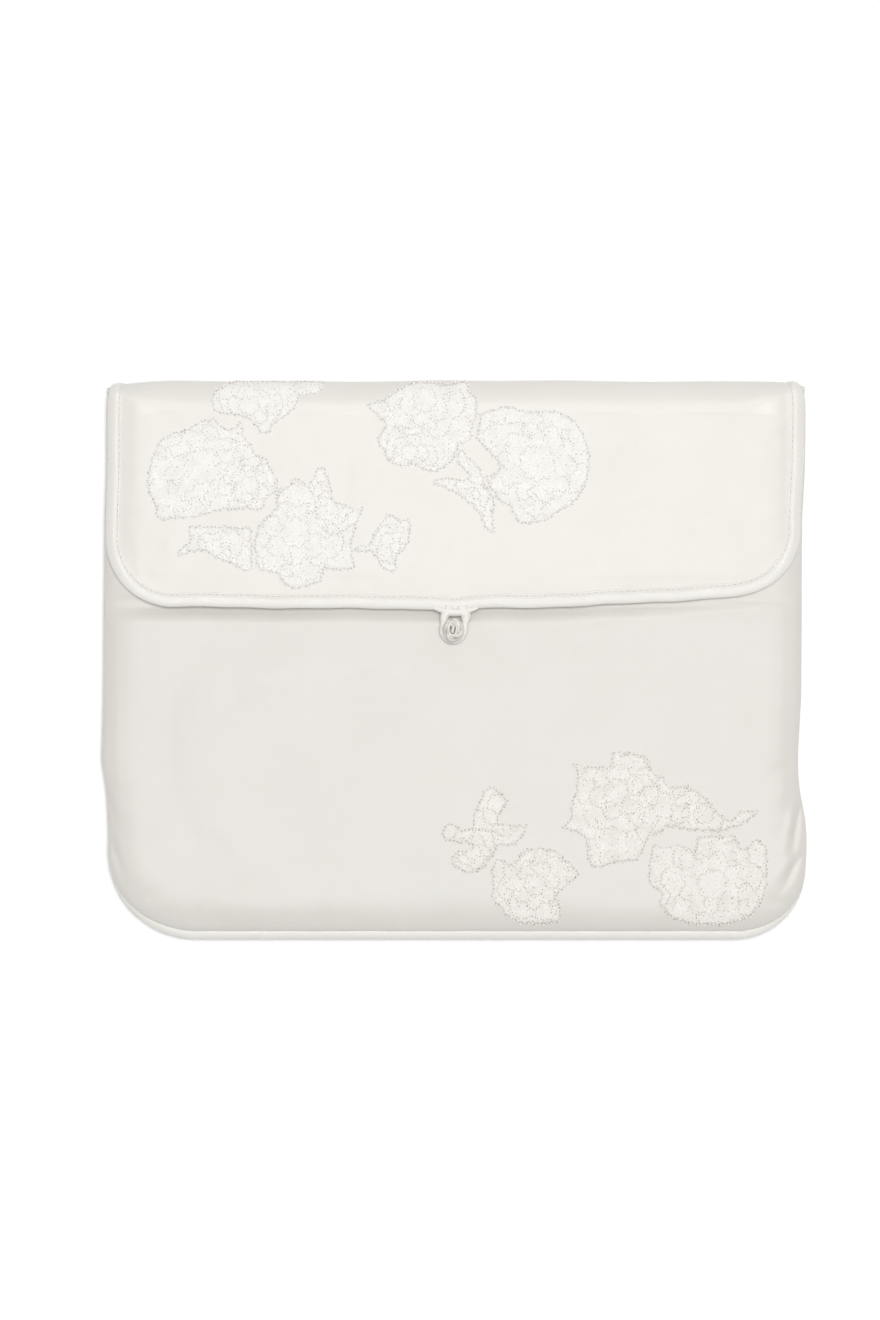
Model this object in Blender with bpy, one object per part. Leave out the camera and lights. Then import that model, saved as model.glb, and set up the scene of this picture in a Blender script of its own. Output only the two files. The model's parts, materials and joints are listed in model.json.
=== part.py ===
"""Satin envelope pouch lying on its back: padded pocket, folded flap, bound edges, lace appliques and knot.

Units are metres, +Z is up. The origin is under the middle of the pouch, on the surface it lies on.
+X runs along the fold, +Y points from the bottom seam to the fold. The back panel lies flat at Z 0.
"""

import math

import bmesh
import bpy

MM = 0.001

# Overall sizes
WIDTH = 320 * MM
DEPTH = 256 * MM
FLAP_DEPTH = 105 * MM
POCKET_SPACE = 9 * MM
BODY_CORNER_RADIUS = 30 * MM
FLAP_CORNER_RADIUS = 32 * MM
MOUTH_SETBACK = 11 * MM
SEAM_LOW = 4.26 * MM

# Cloth layers
SATIN = 0.6 * MM
WADDING = 1.6 * MM
LINING = 0.5 * MM
LAYER_GAP = 0.4 * MM
FLAP_GAP = 0.5 * MM
CLEARANCE = 0.3 * MM
HINGE_ABOVE_LACE = 0.1 * MM

# Bias binding, folded round an edge
BINDING_WIDTH = 6.5 * MM
BINDING_CLOTH = 0.7 * MM
BINDING_GAP = 0.3 * MM

# How the padding rolls down to a seam
BODY_ROLL = 18 * MM
BACK_ROLL = 12 * MM
FLAP_ROLL = 26 * MM
SEAM_MARGIN = 1.5 * MM
STITCH_MARGIN = 3 * MM
PINCH = 5 * MM
WADDING_CORNER = 12 * MM

# Lace
LACE = 0.8 * MM

# Knot button and its loop
KNOT_X = -0.5 * MM
KNOT_BELOW_FLAP = 9.4 * MM
KNOT_WIDTH = 10.6 * MM
KNOT_LENGTH = 12.2 * MM
KNOT_HEIGHT = 9.2 * MM
SHANK_RADIUS = 1.8 * MM
FOOT_RADIUS = 2.6 * MM
FOOT_HEIGHT = 0.6 * MM
SHANK_GAP = 0.6 * MM
LOOP_CORD = 3 * MM
LOOP_X = 0.5 * MM
KNOT_ABOVE_LOOP = 0.25
TAB_DEPTH = 1.5 * MM
TAB_OVERHANG = 0.7 * MM

# Mesh detail
CORNER_STEPS = 12
LOOP_STEPS = 10

# Worked out from the sizes above
HALF_WIDTH = WIDTH / 2
FOLD_Y = DEPTH / 2
BOTTOM_Y = -DEPTH / 2
FLAP_Y = FOLD_Y - FLAP_DEPTH
MOUTH_Y = FOLD_Y - MOUTH_SETBACK
WALL = SATIN + WADDING + LINING + 2 * LAYER_GAP
SEAM_STACK = SATIN + LAYER_GAP + LINING
BINDING_SET = BINDING_CLOTH + BINDING_GAP
FLAP_BINDING_HEIGHT = SEAM_STACK + 2 * BINDING_SET
BODY_BINDING_HEIGHT = 2 * SEAM_STACK + CLEARANCE + 2 * BINDING_SET
FRONT_TOP = 2 * WALL + POCKET_SPACE
FLAP_BASE = FRONT_TOP + FLAP_GAP
FLAP_TOP = FLAP_BASE + (FLAP_BINDING_HEIGHT + WALL) / 2
THICKNESS = FLAP_TOP + CLEARANCE + LACE + HINGE_ABOVE_LACE
SEAM_HIGH = SEAM_LOW + BODY_BINDING_HEIGHT
BACK_SEAM_MID = SEAM_LOW + BINDING_SET + SEAM_STACK / 2
FRONT_SEAM_MID = BACK_SEAM_MID + SEAM_STACK + CLEARANCE
FLAP_SIDE_BASE = SEAM_HIGH + FLAP_GAP
KNOT_Y = FLAP_Y - KNOT_BELOW_FLAP
FOOT_Z = FRONT_TOP + CLEARANCE
SHANK_Z = FOOT_Z + FOOT_HEIGHT + SHANK_GAP
LOOP_Z = FLAP_BASE + FLAP_BINDING_HEIGHT / 2
KNOT_BOTTOM = LOOP_Z + KNOT_ABOVE_LOOP * LOOP_CORD
KNOT_Z = KNOT_BOTTOM + KNOT_HEIGHT / 2
LOOP_RADIUS = SHANK_RADIUS + 4 * CLEARANCE + LOOP_CORD / 2
TAB_Y = FLAP_Y - CLEARANCE - TAB_DEPTH / 2
LOOP_PIVOT_Y = FLAP_Y - 2 * CLEARANCE - TAB_DEPTH - LOOP_CORD / 2

# The pattern that the lace outlines are drawn on, in millimetres, graded to the panels
PATTERN_WIDTH = 320
PATTERN_DEPTH = 256
PATTERN_FLAP = 105

FLAP_LACE = {
    "lace_top_edge": [
        (-110, 122), (-105, 125), (-101, 127.7), (-60, 127.7), (-61, 122.5), (-66, 121.5), (-71, 121.5),
        (-73, 114.5), (-79, 110), (-83, 107.5), (-84, 104), (-88, 103), (-91, 108), (-94, 110.5),
        (-100, 112), (-109, 113), (-110.5, 117),
    ],
    "lace_round_bloom": [
        (-121, 105), (-116, 108.5), (-109, 110), (-107, 106.5), (-103, 104.5), (-99, 106), (-97, 109),
        (-96, 100), (-93, 99), (-91, 93), (-86, 92), (-83.5, 86), (-81, 82), (-81, 77), (-86, 74),
        (-87, 70), (-90, 68), (-95, 69.5), (-100, 68.5), (-105, 69), (-119, 65), (-127, 65), (-134, 63.5),
        (-136, 66), (-135.5, 70), (-138, 74), (-140, 79), (-139, 87), (-137, 94), (-134, 100), (-128, 103.5),
    ],
    "lace_leaves": [
        (-121, 61), (-113, 60.5), (-104, 60.5), (-97, 60), (-92.5, 60.5), (-93, 56), (-92.5, 52), (-92.5, 44),
        (-93, 40.2), (-97, 41), (-100, 43.5), (-108, 46.5), (-113.5, 50), (-121, 49.5), (-125.5, 47),
        (-126.5, 49), (-120, 54), (-120.5, 58),
    ],
    "lace_jagged_bloom": [
        (-79, 78.5), (-75.5, 78), (-73.5, 82.5), (-70, 82), (-67, 79), (-64, 82), (-62, 88), (-59, 87),
        (-56.5, 79), (-55.5, 72), (-52, 71.5), (-45, 68.5), (-41.5, 69), (-44.5, 64), (-46, 57), (-47.5, 52),
        (-45.5, 41.5), (-50, 41.5), (-56, 41), (-60, 42.5), (-60.5, 36), (-67, 34),
        (-74, 32.5), (-79.5, 36.5),
        (-80, 40), (-87, 40.5), (-90, 43), (-91, 54), (-88.5, 62), (-84, 66), (-80.5, 70), (-81, 75),
    ],
    "lace_bud": [
        (-45.5, 51.5), (-38, 52.5), (-37, 57), (-33, 62.5), (-30, 67), (-25.5, 63.5),
        (-20, 63.5), (-20.5, 57),
        (-21.5, 52), (-27, 47), (-26.5, 40), (-33, 42), (-36, 48), (-38, 50), (-45, 49),
    ],
    "lace_rose": [
        (-40, 116.5), (-31, 119), (-26, 123), (-18, 127), (-10, 126.5), (-4, 125.5), (6, 127.5), (6, 122.5),
        (10, 119.5), (10.3, 114.8), (9.5, 110), (7, 104), (8, 101), (5, 98.5), (2, 99), (-1, 91), (-6, 87),
        (-10, 85.5), (-15, 87.5), (-18, 89.5), (-24, 88.5), (-30, 90), (-32, 95.5),
        (-35.5, 100), (-32.5, 105),
        (-30.5, 107), (-35, 111.5),
    ],
    "lace_centre_leaf": [
        (-10.5, 81), (-4, 83), (1, 82), (6, 82), (7.5, 84), (3, 88.5), (0.5, 90.2), (2.8, 96.5), (5, 93),
        (10, 89), (12.5, 84.5), (13.5, 79.5), (16.8, 76), (18.3, 70.5), (17, 66), (18, 57.5), (14, 60.5),
        (12, 66), (9, 70), (2, 75.5), (-4, 78.5),
    ],
    "lace_scalloped_bloom": [
        (12, 112.5), (18, 114), (25, 116), (31, 113), (38, 113), (46, 113.5), (54, 109.5), (59, 102),
        (61.5, 93), (60.5, 84), (59, 78.5), (54, 71.5), (46, 67), (41, 63.5), (32, 62), (29, 63), (25, 71),
        (20.5, 72.2), (18, 77), (14.9, 80.5), (14.8, 84), (20, 85.5), (21, 89), (16, 95),
        (10, 101), (11.5, 107),
    ],
}

FRONT_LACE = {
    "lace_spray": [
        (12, -64), (14, -59.5), (17, -58), (21.5, -61), (24.5, -65), (20.5, -70), (19, -75), (31, -76),
        (33, -75), (31, -80.5), (27, -84.5), (19.5, -84), (18, -89), (15, -91.5), (14, -94.5), (7, -97.5),
        (1, -94.5), (-2, -92.5), (1, -87.5), (8, -87), (9, -84), (2, -83), (-5.5, -81.5),
        (-5, -76.5), (-1, -74.5),
        (4, -78.5), (9.5, -76), (8.5, -71.5),
    ],
    "lace_lower_bloom": [
        (20, -90.5), (26, -94), (29.5, -91), (31, -87), (38, -86), (46, -87), (52, -92.5), (57, -98),
        (50, -103.5), (45, -109), (48, -110.5), (48, -119.5), (40, -120.5), (30, -120),
        (24, -117), (22, -113.5),
        (17, -109), (18, -101), (17, -96),
    ],
    "lace_bouquet": [
        (54, -46.5), (58, -49), (68, -49), (72, -49), (72, -42), (78, -42), (88, -44.5), (91, -53),
        (95, -53), (97, -58.5), (107, -57.5), (116, -64.5), (120, -70), (126, -74), (131, -69), (139, -69.5),
        (131, -75), (121, -78), (109, -77.5), (96, -75.5), (94.5, -79), (89, -79.5), (86, -86), (84, -91),
        (74, -92), (64, -95), (61, -91), (60.5, -81), (54, -77.5), (49, -76.5), (53.5, -73),
        (53.5, -66), (56, -59),
        (56.5, -52),
    ],
    "lace_shell_bloom": [
        (91, -84), (95, -86), (103, -84.5), (110, -88), (111.5, -81), (121, -80.5), (129, -80.5), (130, -87),
        (134, -86), (138, -81.5), (142.5, -86), (142.5, -103), (140, -111), (134, -118), (124, -120.5),
        (108, -120.5), (98, -117), (93.5, -110.5), (95.5, -107), (89, -102), (89, -95),
    ],
}


# ---------------------------------------------------------------- scene and materials

for existing in list(bpy.data.objects):
    bpy.data.objects.remove(existing)

PARTS = bpy.data.collections.new("satin_envelope_pouch")
CUTTERS = bpy.data.collections.new("cutters")
bpy.context.scene.collection.children.link(PARTS)
bpy.context.scene.collection.children.link(CUTTERS)


def material(name, colour, roughness):
    made = bpy.data.materials.new(name)
    made.use_nodes = True
    shader = made.node_tree.nodes["Principled BSDF"]
    shader.inputs["Base Color"].default_value = (*colour, 1)
    shader.inputs["Roughness"].default_value = roughness
    shader.inputs["Metallic"].default_value = 0
    return made


SATIN_CLOTH = material("ivory_satin", (0.90, 0.87, 0.80), 0.38)
BINDING_SATIN = material("binding_satin", (0.93, 0.90, 0.84), 0.35)
LINING_CLOTH = material("ivory_lining", (0.88, 0.85, 0.78), 0.5)
WADDING_FIBRE = material("white_wadding", (0.92, 0.92, 0.90), 0.95)
LACE_THREAD = material("white_lace", (0.95, 0.94, 0.91), 0.7)
KNOT_SATIN = material("knot_satin", (0.80, 0.78, 0.72), 0.32)
SEWING_THREAD = material("sewing_thread", (0.92, 0.90, 0.85), 0.6)


def empty_at(name, location, parent=None):
    pivot = bpy.data.objects.new(name, None)
    PARTS.objects.link(pivot)
    pivot.location = location
    bpy.context.view_layer.update()
    if parent is not None:
        world = pivot.matrix_world.copy()
        pivot.parent = parent
        pivot.matrix_parent_inverse = parent.matrix_world.inverted()
        pivot.matrix_world = world
        bpy.context.view_layer.update()
    return pivot


def add_part(name, mesh, cloth, pivot=None):
    """A named sub-part made of a mesh in world coordinates, hung from its body's pivot."""
    mesh.name = name
    mesh.materials.clear()
    mesh.materials.append(cloth)
    made = bpy.data.objects.new(name, mesh)
    PARTS.objects.link(made)
    if pivot is not None:
        made.parent = pivot
        made.matrix_parent_inverse = pivot.matrix_world.inverted()
    return made


# ---------------------------------------------------------------- shape of the panels


def clamp(value):
    return min(1.0, max(0.0, value))


def lerp(a, b, share):
    return a + (b - a) * share


def roll(distance, start, length):
    """0 where a panel lies in its seam, 1 where it has its full height."""
    share = clamp((distance - start) / length)
    return share * share * (3 - 2 * share)


def edge_distance(x, y, low, radius):
    """Distance inwards from an outline with two straight sides, a low edge and two round low corners."""
    from_side = HALF_WIDTH - abs(x)
    from_low = y - low
    if from_side < radius and from_low < radius:
        return radius - math.hypot(radius - from_side, radius - from_low)
    return min(from_side, from_low)


def fullness(distance):
    """How much of its padding a layer stack has at a distance from a bound edge."""
    return roll(distance, BINDING_WIDTH + STITCH_MARGIN, PINCH)


def back_mid(x, y):
    distance = edge_distance(x, y, BOTTOM_Y, BODY_CORNER_RADIUS)
    risen = roll(distance, BINDING_WIDTH + SEAM_MARGIN, BACK_ROLL)
    return lerp(BACK_SEAM_MID, WALL / 2, risen), lerp(SEAM_STACK, WALL, risen)


def front_mid(x, y):
    distance = edge_distance(x, y, BOTTOM_Y, BODY_CORNER_RADIUS)
    risen = roll(distance, BINDING_WIDTH + SEAM_MARGIN, BODY_ROLL)
    full = min(risen, fullness(MOUTH_Y - y))
    return lerp(FRONT_SEAM_MID, FRONT_TOP - WALL / 2, risen), lerp(SEAM_STACK, WALL, full)


def flap_base(x, y):
    """The underside of the flap, which follows the pocket's sides."""
    risen = roll(HALF_WIDTH - abs(x), 0, FLAP_ROLL)
    return lerp(FLAP_SIDE_BASE, FLAP_BASE, risen)


def flap_mid(x, y):
    full = fullness(edge_distance(x, y, FLAP_Y, FLAP_CORNER_RADIUS))
    return flap_base(x, y) + FLAP_BINDING_HEIGHT / 2, lerp(SEAM_STACK, WALL, full)


def body_binding_base(x, y):
    """The same height everywhere: this seam lies level."""
    return SEAM_LOW


def mouth_binding_base(x, y):
    return front_mid(x, MOUTH_Y)[0] - FLAP_BINDING_HEIGHT / 2


def stack_level(mid, side, inwards):
    """Height of a level in a panel, a distance inwards from its upper (+1) or lower (-1) face."""

    def height(x, y):
        centre, stack = mid(x, y)
        return centre + side * (stack / 2 - inwards)

    return height


def half_width_at(y, inset, low, radius):
    """Half of the outline's width at a height, for the outline moved inwards by inset."""
    corner = radius - inset
    from_low = y - low - inset
    if from_low >= corner:
        return HALF_WIDTH - inset
    return HALF_WIDTH - radius + math.sqrt(max(0, corner**2 - (corner - from_low) ** 2))


def close_mesh(bm, mesh):
    """Points every face outwards, then hands the shape to the mesh."""
    bmesh.ops.recalc_face_normals(bm, faces=bm.faces[:])
    if bm.calc_volume(signed=True) < 0:
        bmesh.ops.reverse_faces(bm, faces=bm.faces[:])
    bm.to_mesh(mesh)
    bm.free()


def slab(name, inset, low, high, radius, lower, upper, from_sides, from_low, from_high=()):
    """A closed sheet between two height functions, on the outline moved inwards by inset.

    Its columns lie at the distances from_sides inside each side, its rows at from_low and from_high.
    """
    rows = [low + inset + step for step in from_low] + [high - step for step in reversed(from_high)] + [high]
    columns = [(-1, step) for step in from_sides] + [(0, 0)] + [(1, step) for step in reversed(from_sides)]
    mesh = bpy.data.meshes.new(name)
    bm = bmesh.new()
    bmesh.ops.create_grid(bm, x_segments=len(columns) - 1, y_segments=len(rows) - 1, size=0.5)
    bm.verts.ensure_lookup_table()
    place = {}
    for vertex in bm.verts:
        column = round((vertex.co.x + 0.5) * (len(columns) - 1))
        row = round((vertex.co.y + 0.5) * (len(rows) - 1))
        side, step = columns[column]
        reach = half_width_at(rows[row], inset, low, radius)
        place[vertex.index] = (side * (reach - step), rows[row])
    for vertex in bm.verts:
        vertex.co.x, vertex.co.y = place[vertex.index]
    bmesh.ops.solidify(bm, geom=bm.faces[:], thickness=1.0)
    middle = sum(vertex.co.z for vertex in bm.verts) / len(bm.verts)
    for vertex in bm.verts:
        level = upper if vertex.co.z > middle else lower
        vertex.co.z = level(vertex.co.x, vertex.co.y)
    close_mesh(bm, mesh)
    return mesh


ROLL_STEPS = [0, 3.4 * MM, 6.8 * MM, 10 * MM, 14 * MM, 19 * MM, 27 * MM]
CORNER_ROWS = [0, 1.2 * MM, 3.4 * MM, 6.8 * MM, 10 * MM, 14 * MM, 19 * MM, 27 * MM]
WADDING_INSET = BINDING_SET + ROLL_STEPS[-1]
WADDING_STEPS = [0, WADDING_CORNER / 4, WADDING_CORNER]


def rows_past_corner(rows, corner_top):
    """The rows, with one more where the round corner ends if it ends above them."""
    if corner_top > rows[-1] + CLEARANCE:
        return rows + [corner_top]
    return rows


def panel_layers(name, mid, outer_side, outline, pivot=None, from_high=()):
    """The satin, wadding and lining of one padded panel. outer_side is +1 if the satin is on top."""
    low, high, radius = outline
    inner_side = -outer_side
    levels = {
        "satin": (stack_level(mid, outer_side, 0), stack_level(mid, outer_side, SATIN)),
        "wadding": (
            stack_level(mid, outer_side, SATIN + LAYER_GAP),
            stack_level(mid, inner_side, LINING + LAYER_GAP),
        ),
        "lining": (stack_level(mid, inner_side, LINING), stack_level(mid, inner_side, 0)),
    }
    cloths = {"satin": SATIN_CLOTH, "wadding": WADDING_FIBRE, "lining": LINING_CLOTH}
    for layer, (first, second) in levels.items():
        upper, lower = (first, second) if outer_side > 0 else (second, first)
        if layer == "wadding":
            inset = WADDING_INSET
            mesh = slab(
                f"{name}_{layer}", inset, low, high - inset, inset + WADDING_CORNER, lower, upper,
                WADDING_STEPS[:1], WADDING_STEPS,
            )
        else:
            mesh = slab(
                f"{name}_{layer}", BINDING_SET, low, high, radius, lower, upper,
                ROLL_STEPS, rows_past_corner(CORNER_ROWS, radius - BINDING_SET), from_high,
            )
        add_part(f"{name}_{layer}", mesh, cloths[layer], pivot)


# ---------------------------------------------------------------- bindings


def bound_path(low, high, radius):
    """Points and inward directions along a left side, a low edge with round corners and a right side."""
    stations = [((-HALF_WIDTH, high), (1, 0)), ((-HALF_WIDTH, (high + low + radius) / 2), (1, 0))]
    for side in (-1, 1):
        centre_x = side * (HALF_WIDTH - radius)
        arc = []
        for step in range(CORNER_STEPS + 1):
            angle = math.pi / 2 * step / CORNER_STEPS
            inward = (-side * math.cos(angle), math.sin(angle))
            arc.append(((centre_x - inward[0] * radius, low + radius - inward[1] * radius), inward))
        stations += arc if side < 0 else arc[::-1]
    stations += [((HALF_WIDTH, (high + low + radius) / 2), (-1, 0)), ((HALF_WIDTH, high), (-1, 0))]
    return stations


def mouth_path():
    """Along the front panel's top edge, between the points where the padding has room beneath it."""
    reaches = [HALF_WIDTH - BINDING_SET - step for step in ROLL_STEPS if step > BINDING_WIDTH + BODY_ROLL / 3]
    places = reaches + [0] + [-reach for reach in reversed(reaches)]
    return [((x, MOUTH_Y), (0, -1)) for x in places]


def binding_section(height):
    """A U-shaped fold of cloth: pairs of distance inwards and height."""
    half = BINDING_WIDTH / 2
    inner_top = height - BINDING_CLOTH
    return [
        (0, 0), (half, 0), (BINDING_WIDTH, 0), (BINDING_WIDTH, BINDING_CLOTH), (half, BINDING_CLOTH),
        (BINDING_CLOTH, BINDING_CLOTH), (BINDING_CLOTH, inner_top), (half, inner_top),
        (BINDING_WIDTH, inner_top), (BINDING_WIDTH, height), (half, height), (0, height),
    ]


def swept_binding(name, stations, base, height):
    """A loft of the binding's section along its stations, each point lifted by the base below it."""
    section = binding_section(height)
    mesh = bpy.data.meshes.new(name)
    bm = bmesh.new()
    rings = []
    for (x, y), (inward_x, inward_y) in stations:
        ring = []
        for distance, lift in section:
            point_x = x + inward_x * distance
            point_y = y + inward_y * distance
            ring.append(bm.verts.new((point_x, point_y, base(point_x, point_y) + lift)))
        rings.append(ring)
    count = len(section)
    for ring, following in zip(rings, rings[1:]):
        for corner in range(count):
            after = (corner + 1) % count
            bm.faces.new((ring[corner], following[corner], following[after], ring[after]))
    bm.faces.new(rings[0])
    bm.faces.new(reversed(rings[-1]))
    close_mesh(bm, mesh)
    return mesh


# ---------------------------------------------------------------- lace


def outline_prism(name, points, low, high):
    """A closed outline extruded between two heights."""
    curve = bpy.data.curves.new(name, "CURVE")
    curve.dimensions = "2D"
    curve.fill_mode = "BOTH"
    curve.extrude = (high - low) / 2
    spline = curve.splines.new("POLY")
    spline.points.add(len(points) - 1)
    for spot, (x, y) in zip(spline.points, points):
        spot.co = (x, y, 0, 1)
    spline.use_cyclic_u = True
    drawn = bpy.data.objects.new(name, curve)
    drawn.location.z = (low + high) / 2
    PARTS.objects.link(drawn)
    bpy.context.view_layer.update()
    graph = bpy.context.evaluated_depsgraph_get()
    mesh = bpy.data.meshes.new_from_object(drawn.evaluated_get(graph))
    mesh.transform(drawn.matrix_world)
    bpy.data.objects.remove(drawn)
    bm = bmesh.new()
    bm.from_mesh(mesh)
    bmesh.ops.remove_doubles(bm, verts=bm.verts[:], dist=0.01 * MM)
    close_mesh(bm, mesh)
    return mesh


def add_cutter(name, mesh):
    made = bpy.data.objects.new(name, mesh)
    CUTTERS.objects.link(made)
    made.hide_render = True
    made.display_type = "WIRE"
    return made


def graded_to_flap(points):
    across = WIDTH / (PATTERN_WIDTH * MM)
    down = FLAP_DEPTH / (PATTERN_FLAP * MM)
    return [(x * MM * across, FOLD_Y - (PATTERN_DEPTH / 2 - y) * MM * down) for x, y in points]


def graded_to_front(points):
    across = WIDTH / (PATTERN_WIDTH * MM)
    up = (DEPTH - FLAP_DEPTH) / ((PATTERN_DEPTH - PATTERN_FLAP) * MM)
    return [(x * MM * across, BOTTOM_Y + (y + PATTERN_DEPTH / 2) * MM * up) for x, y in points]


LACE_INSET = BINDING_WIDTH + 2 * CLEARANCE
LACE_STEPS = [step - LACE_INSET + BINDING_SET for step in ROLL_STEPS if step > LACE_INSET]


def lace_skin(name, mid, low, high, radius):
    """The layer that lace fills: a sheet that follows the satin, a clearance above it."""
    steps = [0] + LACE_STEPS
    mesh = slab(
        name, LACE_INSET, low, high, radius, stack_level(mid, 1, -CLEARANCE),
        stack_level(mid, 1, -CLEARANCE - LACE), steps, rows_past_corner(steps, radius - LACE_INSET),
    )
    return add_cutter(name, mesh)


def add_lace(name, points, skin, pivot=None):
    """One applique: its outline, kept where it meets the lace layer."""
    prism = outline_prism(name, points, SEAM_LOW, THICKNESS + WALL)
    made = add_part(name, prism, LACE_THREAD, pivot)
    cut = made.modifiers.new("follow_the_satin", "BOOLEAN")
    cut.operation = "INTERSECT"
    cut.solver = "EXACT"
    cut.object = skin
    return made


# ---------------------------------------------------------------- fold strip


def fold_low(x):
    centre, stack = back_mid(x, FOLD_Y)
    return centre + stack / 2 + CLEARANCE


def fold_high(x):
    return flap_base(x, FOLD_Y) - CLEARANCE


def fold_sheet(name, half_length, outer_y, thickness, trim, columns):
    """An upright strip between the back panel and the flap, with lens-shaped ends."""
    places = [-half_length + step for step in columns] + [0]
    places += [half_length - step for step in reversed(columns)]
    mesh = bpy.data.meshes.new(name)
    bm = bmesh.new()
    bmesh.ops.create_grid(bm, x_segments=len(places) - 1, y_segments=1, size=0.5)
    bmesh.ops.solidify(bm, geom=bm.faces[:], thickness=1.0)
    middle = sum(vertex.co.z for vertex in bm.verts) / len(bm.verts)
    for vertex in bm.verts:
        x = places[round((vertex.co.x + 0.5) * (len(places) - 1))]
        z = fold_high(x) - trim if vertex.co.y > 0 else fold_low(x) + trim
        y = outer_y if vertex.co.z > middle else outer_y - thickness
        vertex.co = (x, y, z)
    close_mesh(bm, mesh)
    return mesh


def box_mesh(name, low, high):
    mesh = bpy.data.meshes.new(name)
    bm = bmesh.new()
    bmesh.ops.create_cube(bm, size=1)
    for vertex in bm.verts:
        vertex.co = [lerp(low[axis], high[axis], vertex.co[axis] + 0.5) for axis in range(3)]
    bm.to_mesh(mesh)
    bm.free()
    return mesh


# ---------------------------------------------------------------- knot and loop


def ball_mesh(name, centre, sizes):
    mesh = bpy.data.meshes.new(name)
    bm = bmesh.new()
    bmesh.ops.create_uvsphere(bm, u_segments=16, v_segments=10, radius=0.5)
    for vertex in bm.verts:
        vertex.co = [centre[axis] + vertex.co[axis] * sizes[axis] for axis in range(3)]
    bm.to_mesh(mesh)
    bm.free()
    mesh.shade_smooth()
    return mesh


def disc_mesh(name, centre, radius, height):
    mesh = bpy.data.meshes.new(name)
    bm = bmesh.new()
    bmesh.ops.create_cone(bm, cap_ends=True, segments=16, radius1=radius, radius2=radius, depth=height)
    bmesh.ops.translate(bm, verts=bm.verts[:], vec=centre)
    bm.to_mesh(mesh)
    bm.free()
    return mesh


def loop_points():
    """From the right end of the loop, round behind the knot's shank, to its left end."""
    points = [(LOOP_X + LOOP_RADIUS, LOOP_PIVOT_Y, LOOP_Z)]
    for step in range(LOOP_STEPS + 1):
        angle = -math.pi * step / LOOP_STEPS
        across = LOOP_RADIUS * math.cos(angle)
        points.append((KNOT_X + across, KNOT_Y + LOOP_RADIUS * math.sin(angle), LOOP_Z))
    points.append((LOOP_X - LOOP_RADIUS, LOOP_PIVOT_Y, LOOP_Z))
    return points


def cord_part(name, points, diameter, cloth, pivot):
    curve = bpy.data.curves.new(name, "CURVE")
    curve.dimensions = "3D"
    curve.bevel_depth = diameter / 2
    curve.bevel_resolution = 2
    curve.use_fill_caps = True
    curve.render_resolution_u = 0
    spline = curve.splines.new("POLY")
    spline.points.add(len(points) - 1)
    for spot, place in zip(spline.points, points):
        spot.co = (*place, 1)
    curve.materials.append(cloth)
    made = bpy.data.objects.new(name, curve)
    PARTS.objects.link(made)
    made.parent = pivot
    made.matrix_parent_inverse = pivot.matrix_world.inverted()
    return made


# ---------------------------------------------------------------- assembly

fold_pivot = empty_at("fold_pivot", (0, FOLD_Y, 0))
flap_pivot = empty_at("flap_pivot", (0, FOLD_Y, THICKNESS), fold_pivot)
loop_pivot = empty_at("loop_pivot", (LOOP_X, LOOP_PIVOT_Y, LOOP_Z), flap_pivot)
knot_pivot = empty_at("knot_pivot", (KNOT_X, KNOT_Y, SHANK_Z - SHANK_GAP / 2))

# The pocket
panel_layers("back", back_mid, -1, (BOTTOM_Y, FOLD_Y, BODY_CORNER_RADIUS))
mouth_rows = [BINDING_WIDTH + STITCH_MARGIN, BINDING_WIDTH + STITCH_MARGIN + PINCH]
panel_layers("front", front_mid, 1, (BOTTOM_Y, MOUTH_Y - BINDING_SET, BODY_CORNER_RADIUS), None, mouth_rows)
binding_end = FOLD_Y - WALL - FLAP_GAP
add_part(
    "edge_binding",
    swept_binding("edge_binding", bound_path(BOTTOM_Y, binding_end, BODY_CORNER_RADIUS), body_binding_base,
                  BODY_BINDING_HEIGHT),
    BINDING_SATIN,
)
add_part(
    "mouth_binding",
    swept_binding("mouth_binding", mouth_path(), mouth_binding_base, FLAP_BINDING_HEIGHT),
    BINDING_SATIN,
)
add_part(
    "knot_foot",
    disc_mesh("knot_foot", (KNOT_X, KNOT_Y, FOOT_Z + FOOT_HEIGHT / 2), FOOT_RADIUS, FOOT_HEIGHT),
    SEWING_THREAD,
)

# The fold
fold_half_length = HALF_WIDTH - BINDING_WIDTH - 2 * CLEARANCE
fold_columns = [0, 3 * MM, 7 * MM, 12 * MM, 20 * MM]
add_part(
    "fold_satin",
    fold_sheet("fold_satin", fold_half_length, FOLD_Y, SATIN, 0, fold_columns),
    SATIN_CLOTH,
    fold_pivot,
)
add_part(
    "fold_wadding",
    fold_sheet("fold_wadding", fold_half_length - 2 * PINCH, FOLD_Y - SATIN - LAYER_GAP, WADDING, CLEARANCE,
               fold_columns),
    WADDING_FIBRE,
    fold_pivot,
)
add_part(
    "fold_lining",
    fold_sheet("fold_lining", fold_half_length, FOLD_Y - WALL + LINING, LINING, 0, fold_columns),
    LINING_CLOTH,
    fold_pivot,
)
for side, word in ((-1, "left"), (1, "right")):
    inner_x = side * (HALF_WIDTH - BINDING_WIDTH)
    outer_x = side * HALF_WIDTH
    bar = box_mesh(
        f"fold_binding_{word}",
        (min(inner_x, outer_x), FOLD_Y - WALL, fold_low(HALF_WIDTH)),
        (max(inner_x, outer_x), FOLD_Y, fold_high(HALF_WIDTH)),
    )
    add_part(f"fold_binding_{word}", bar, BINDING_SATIN, fold_pivot)

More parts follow.
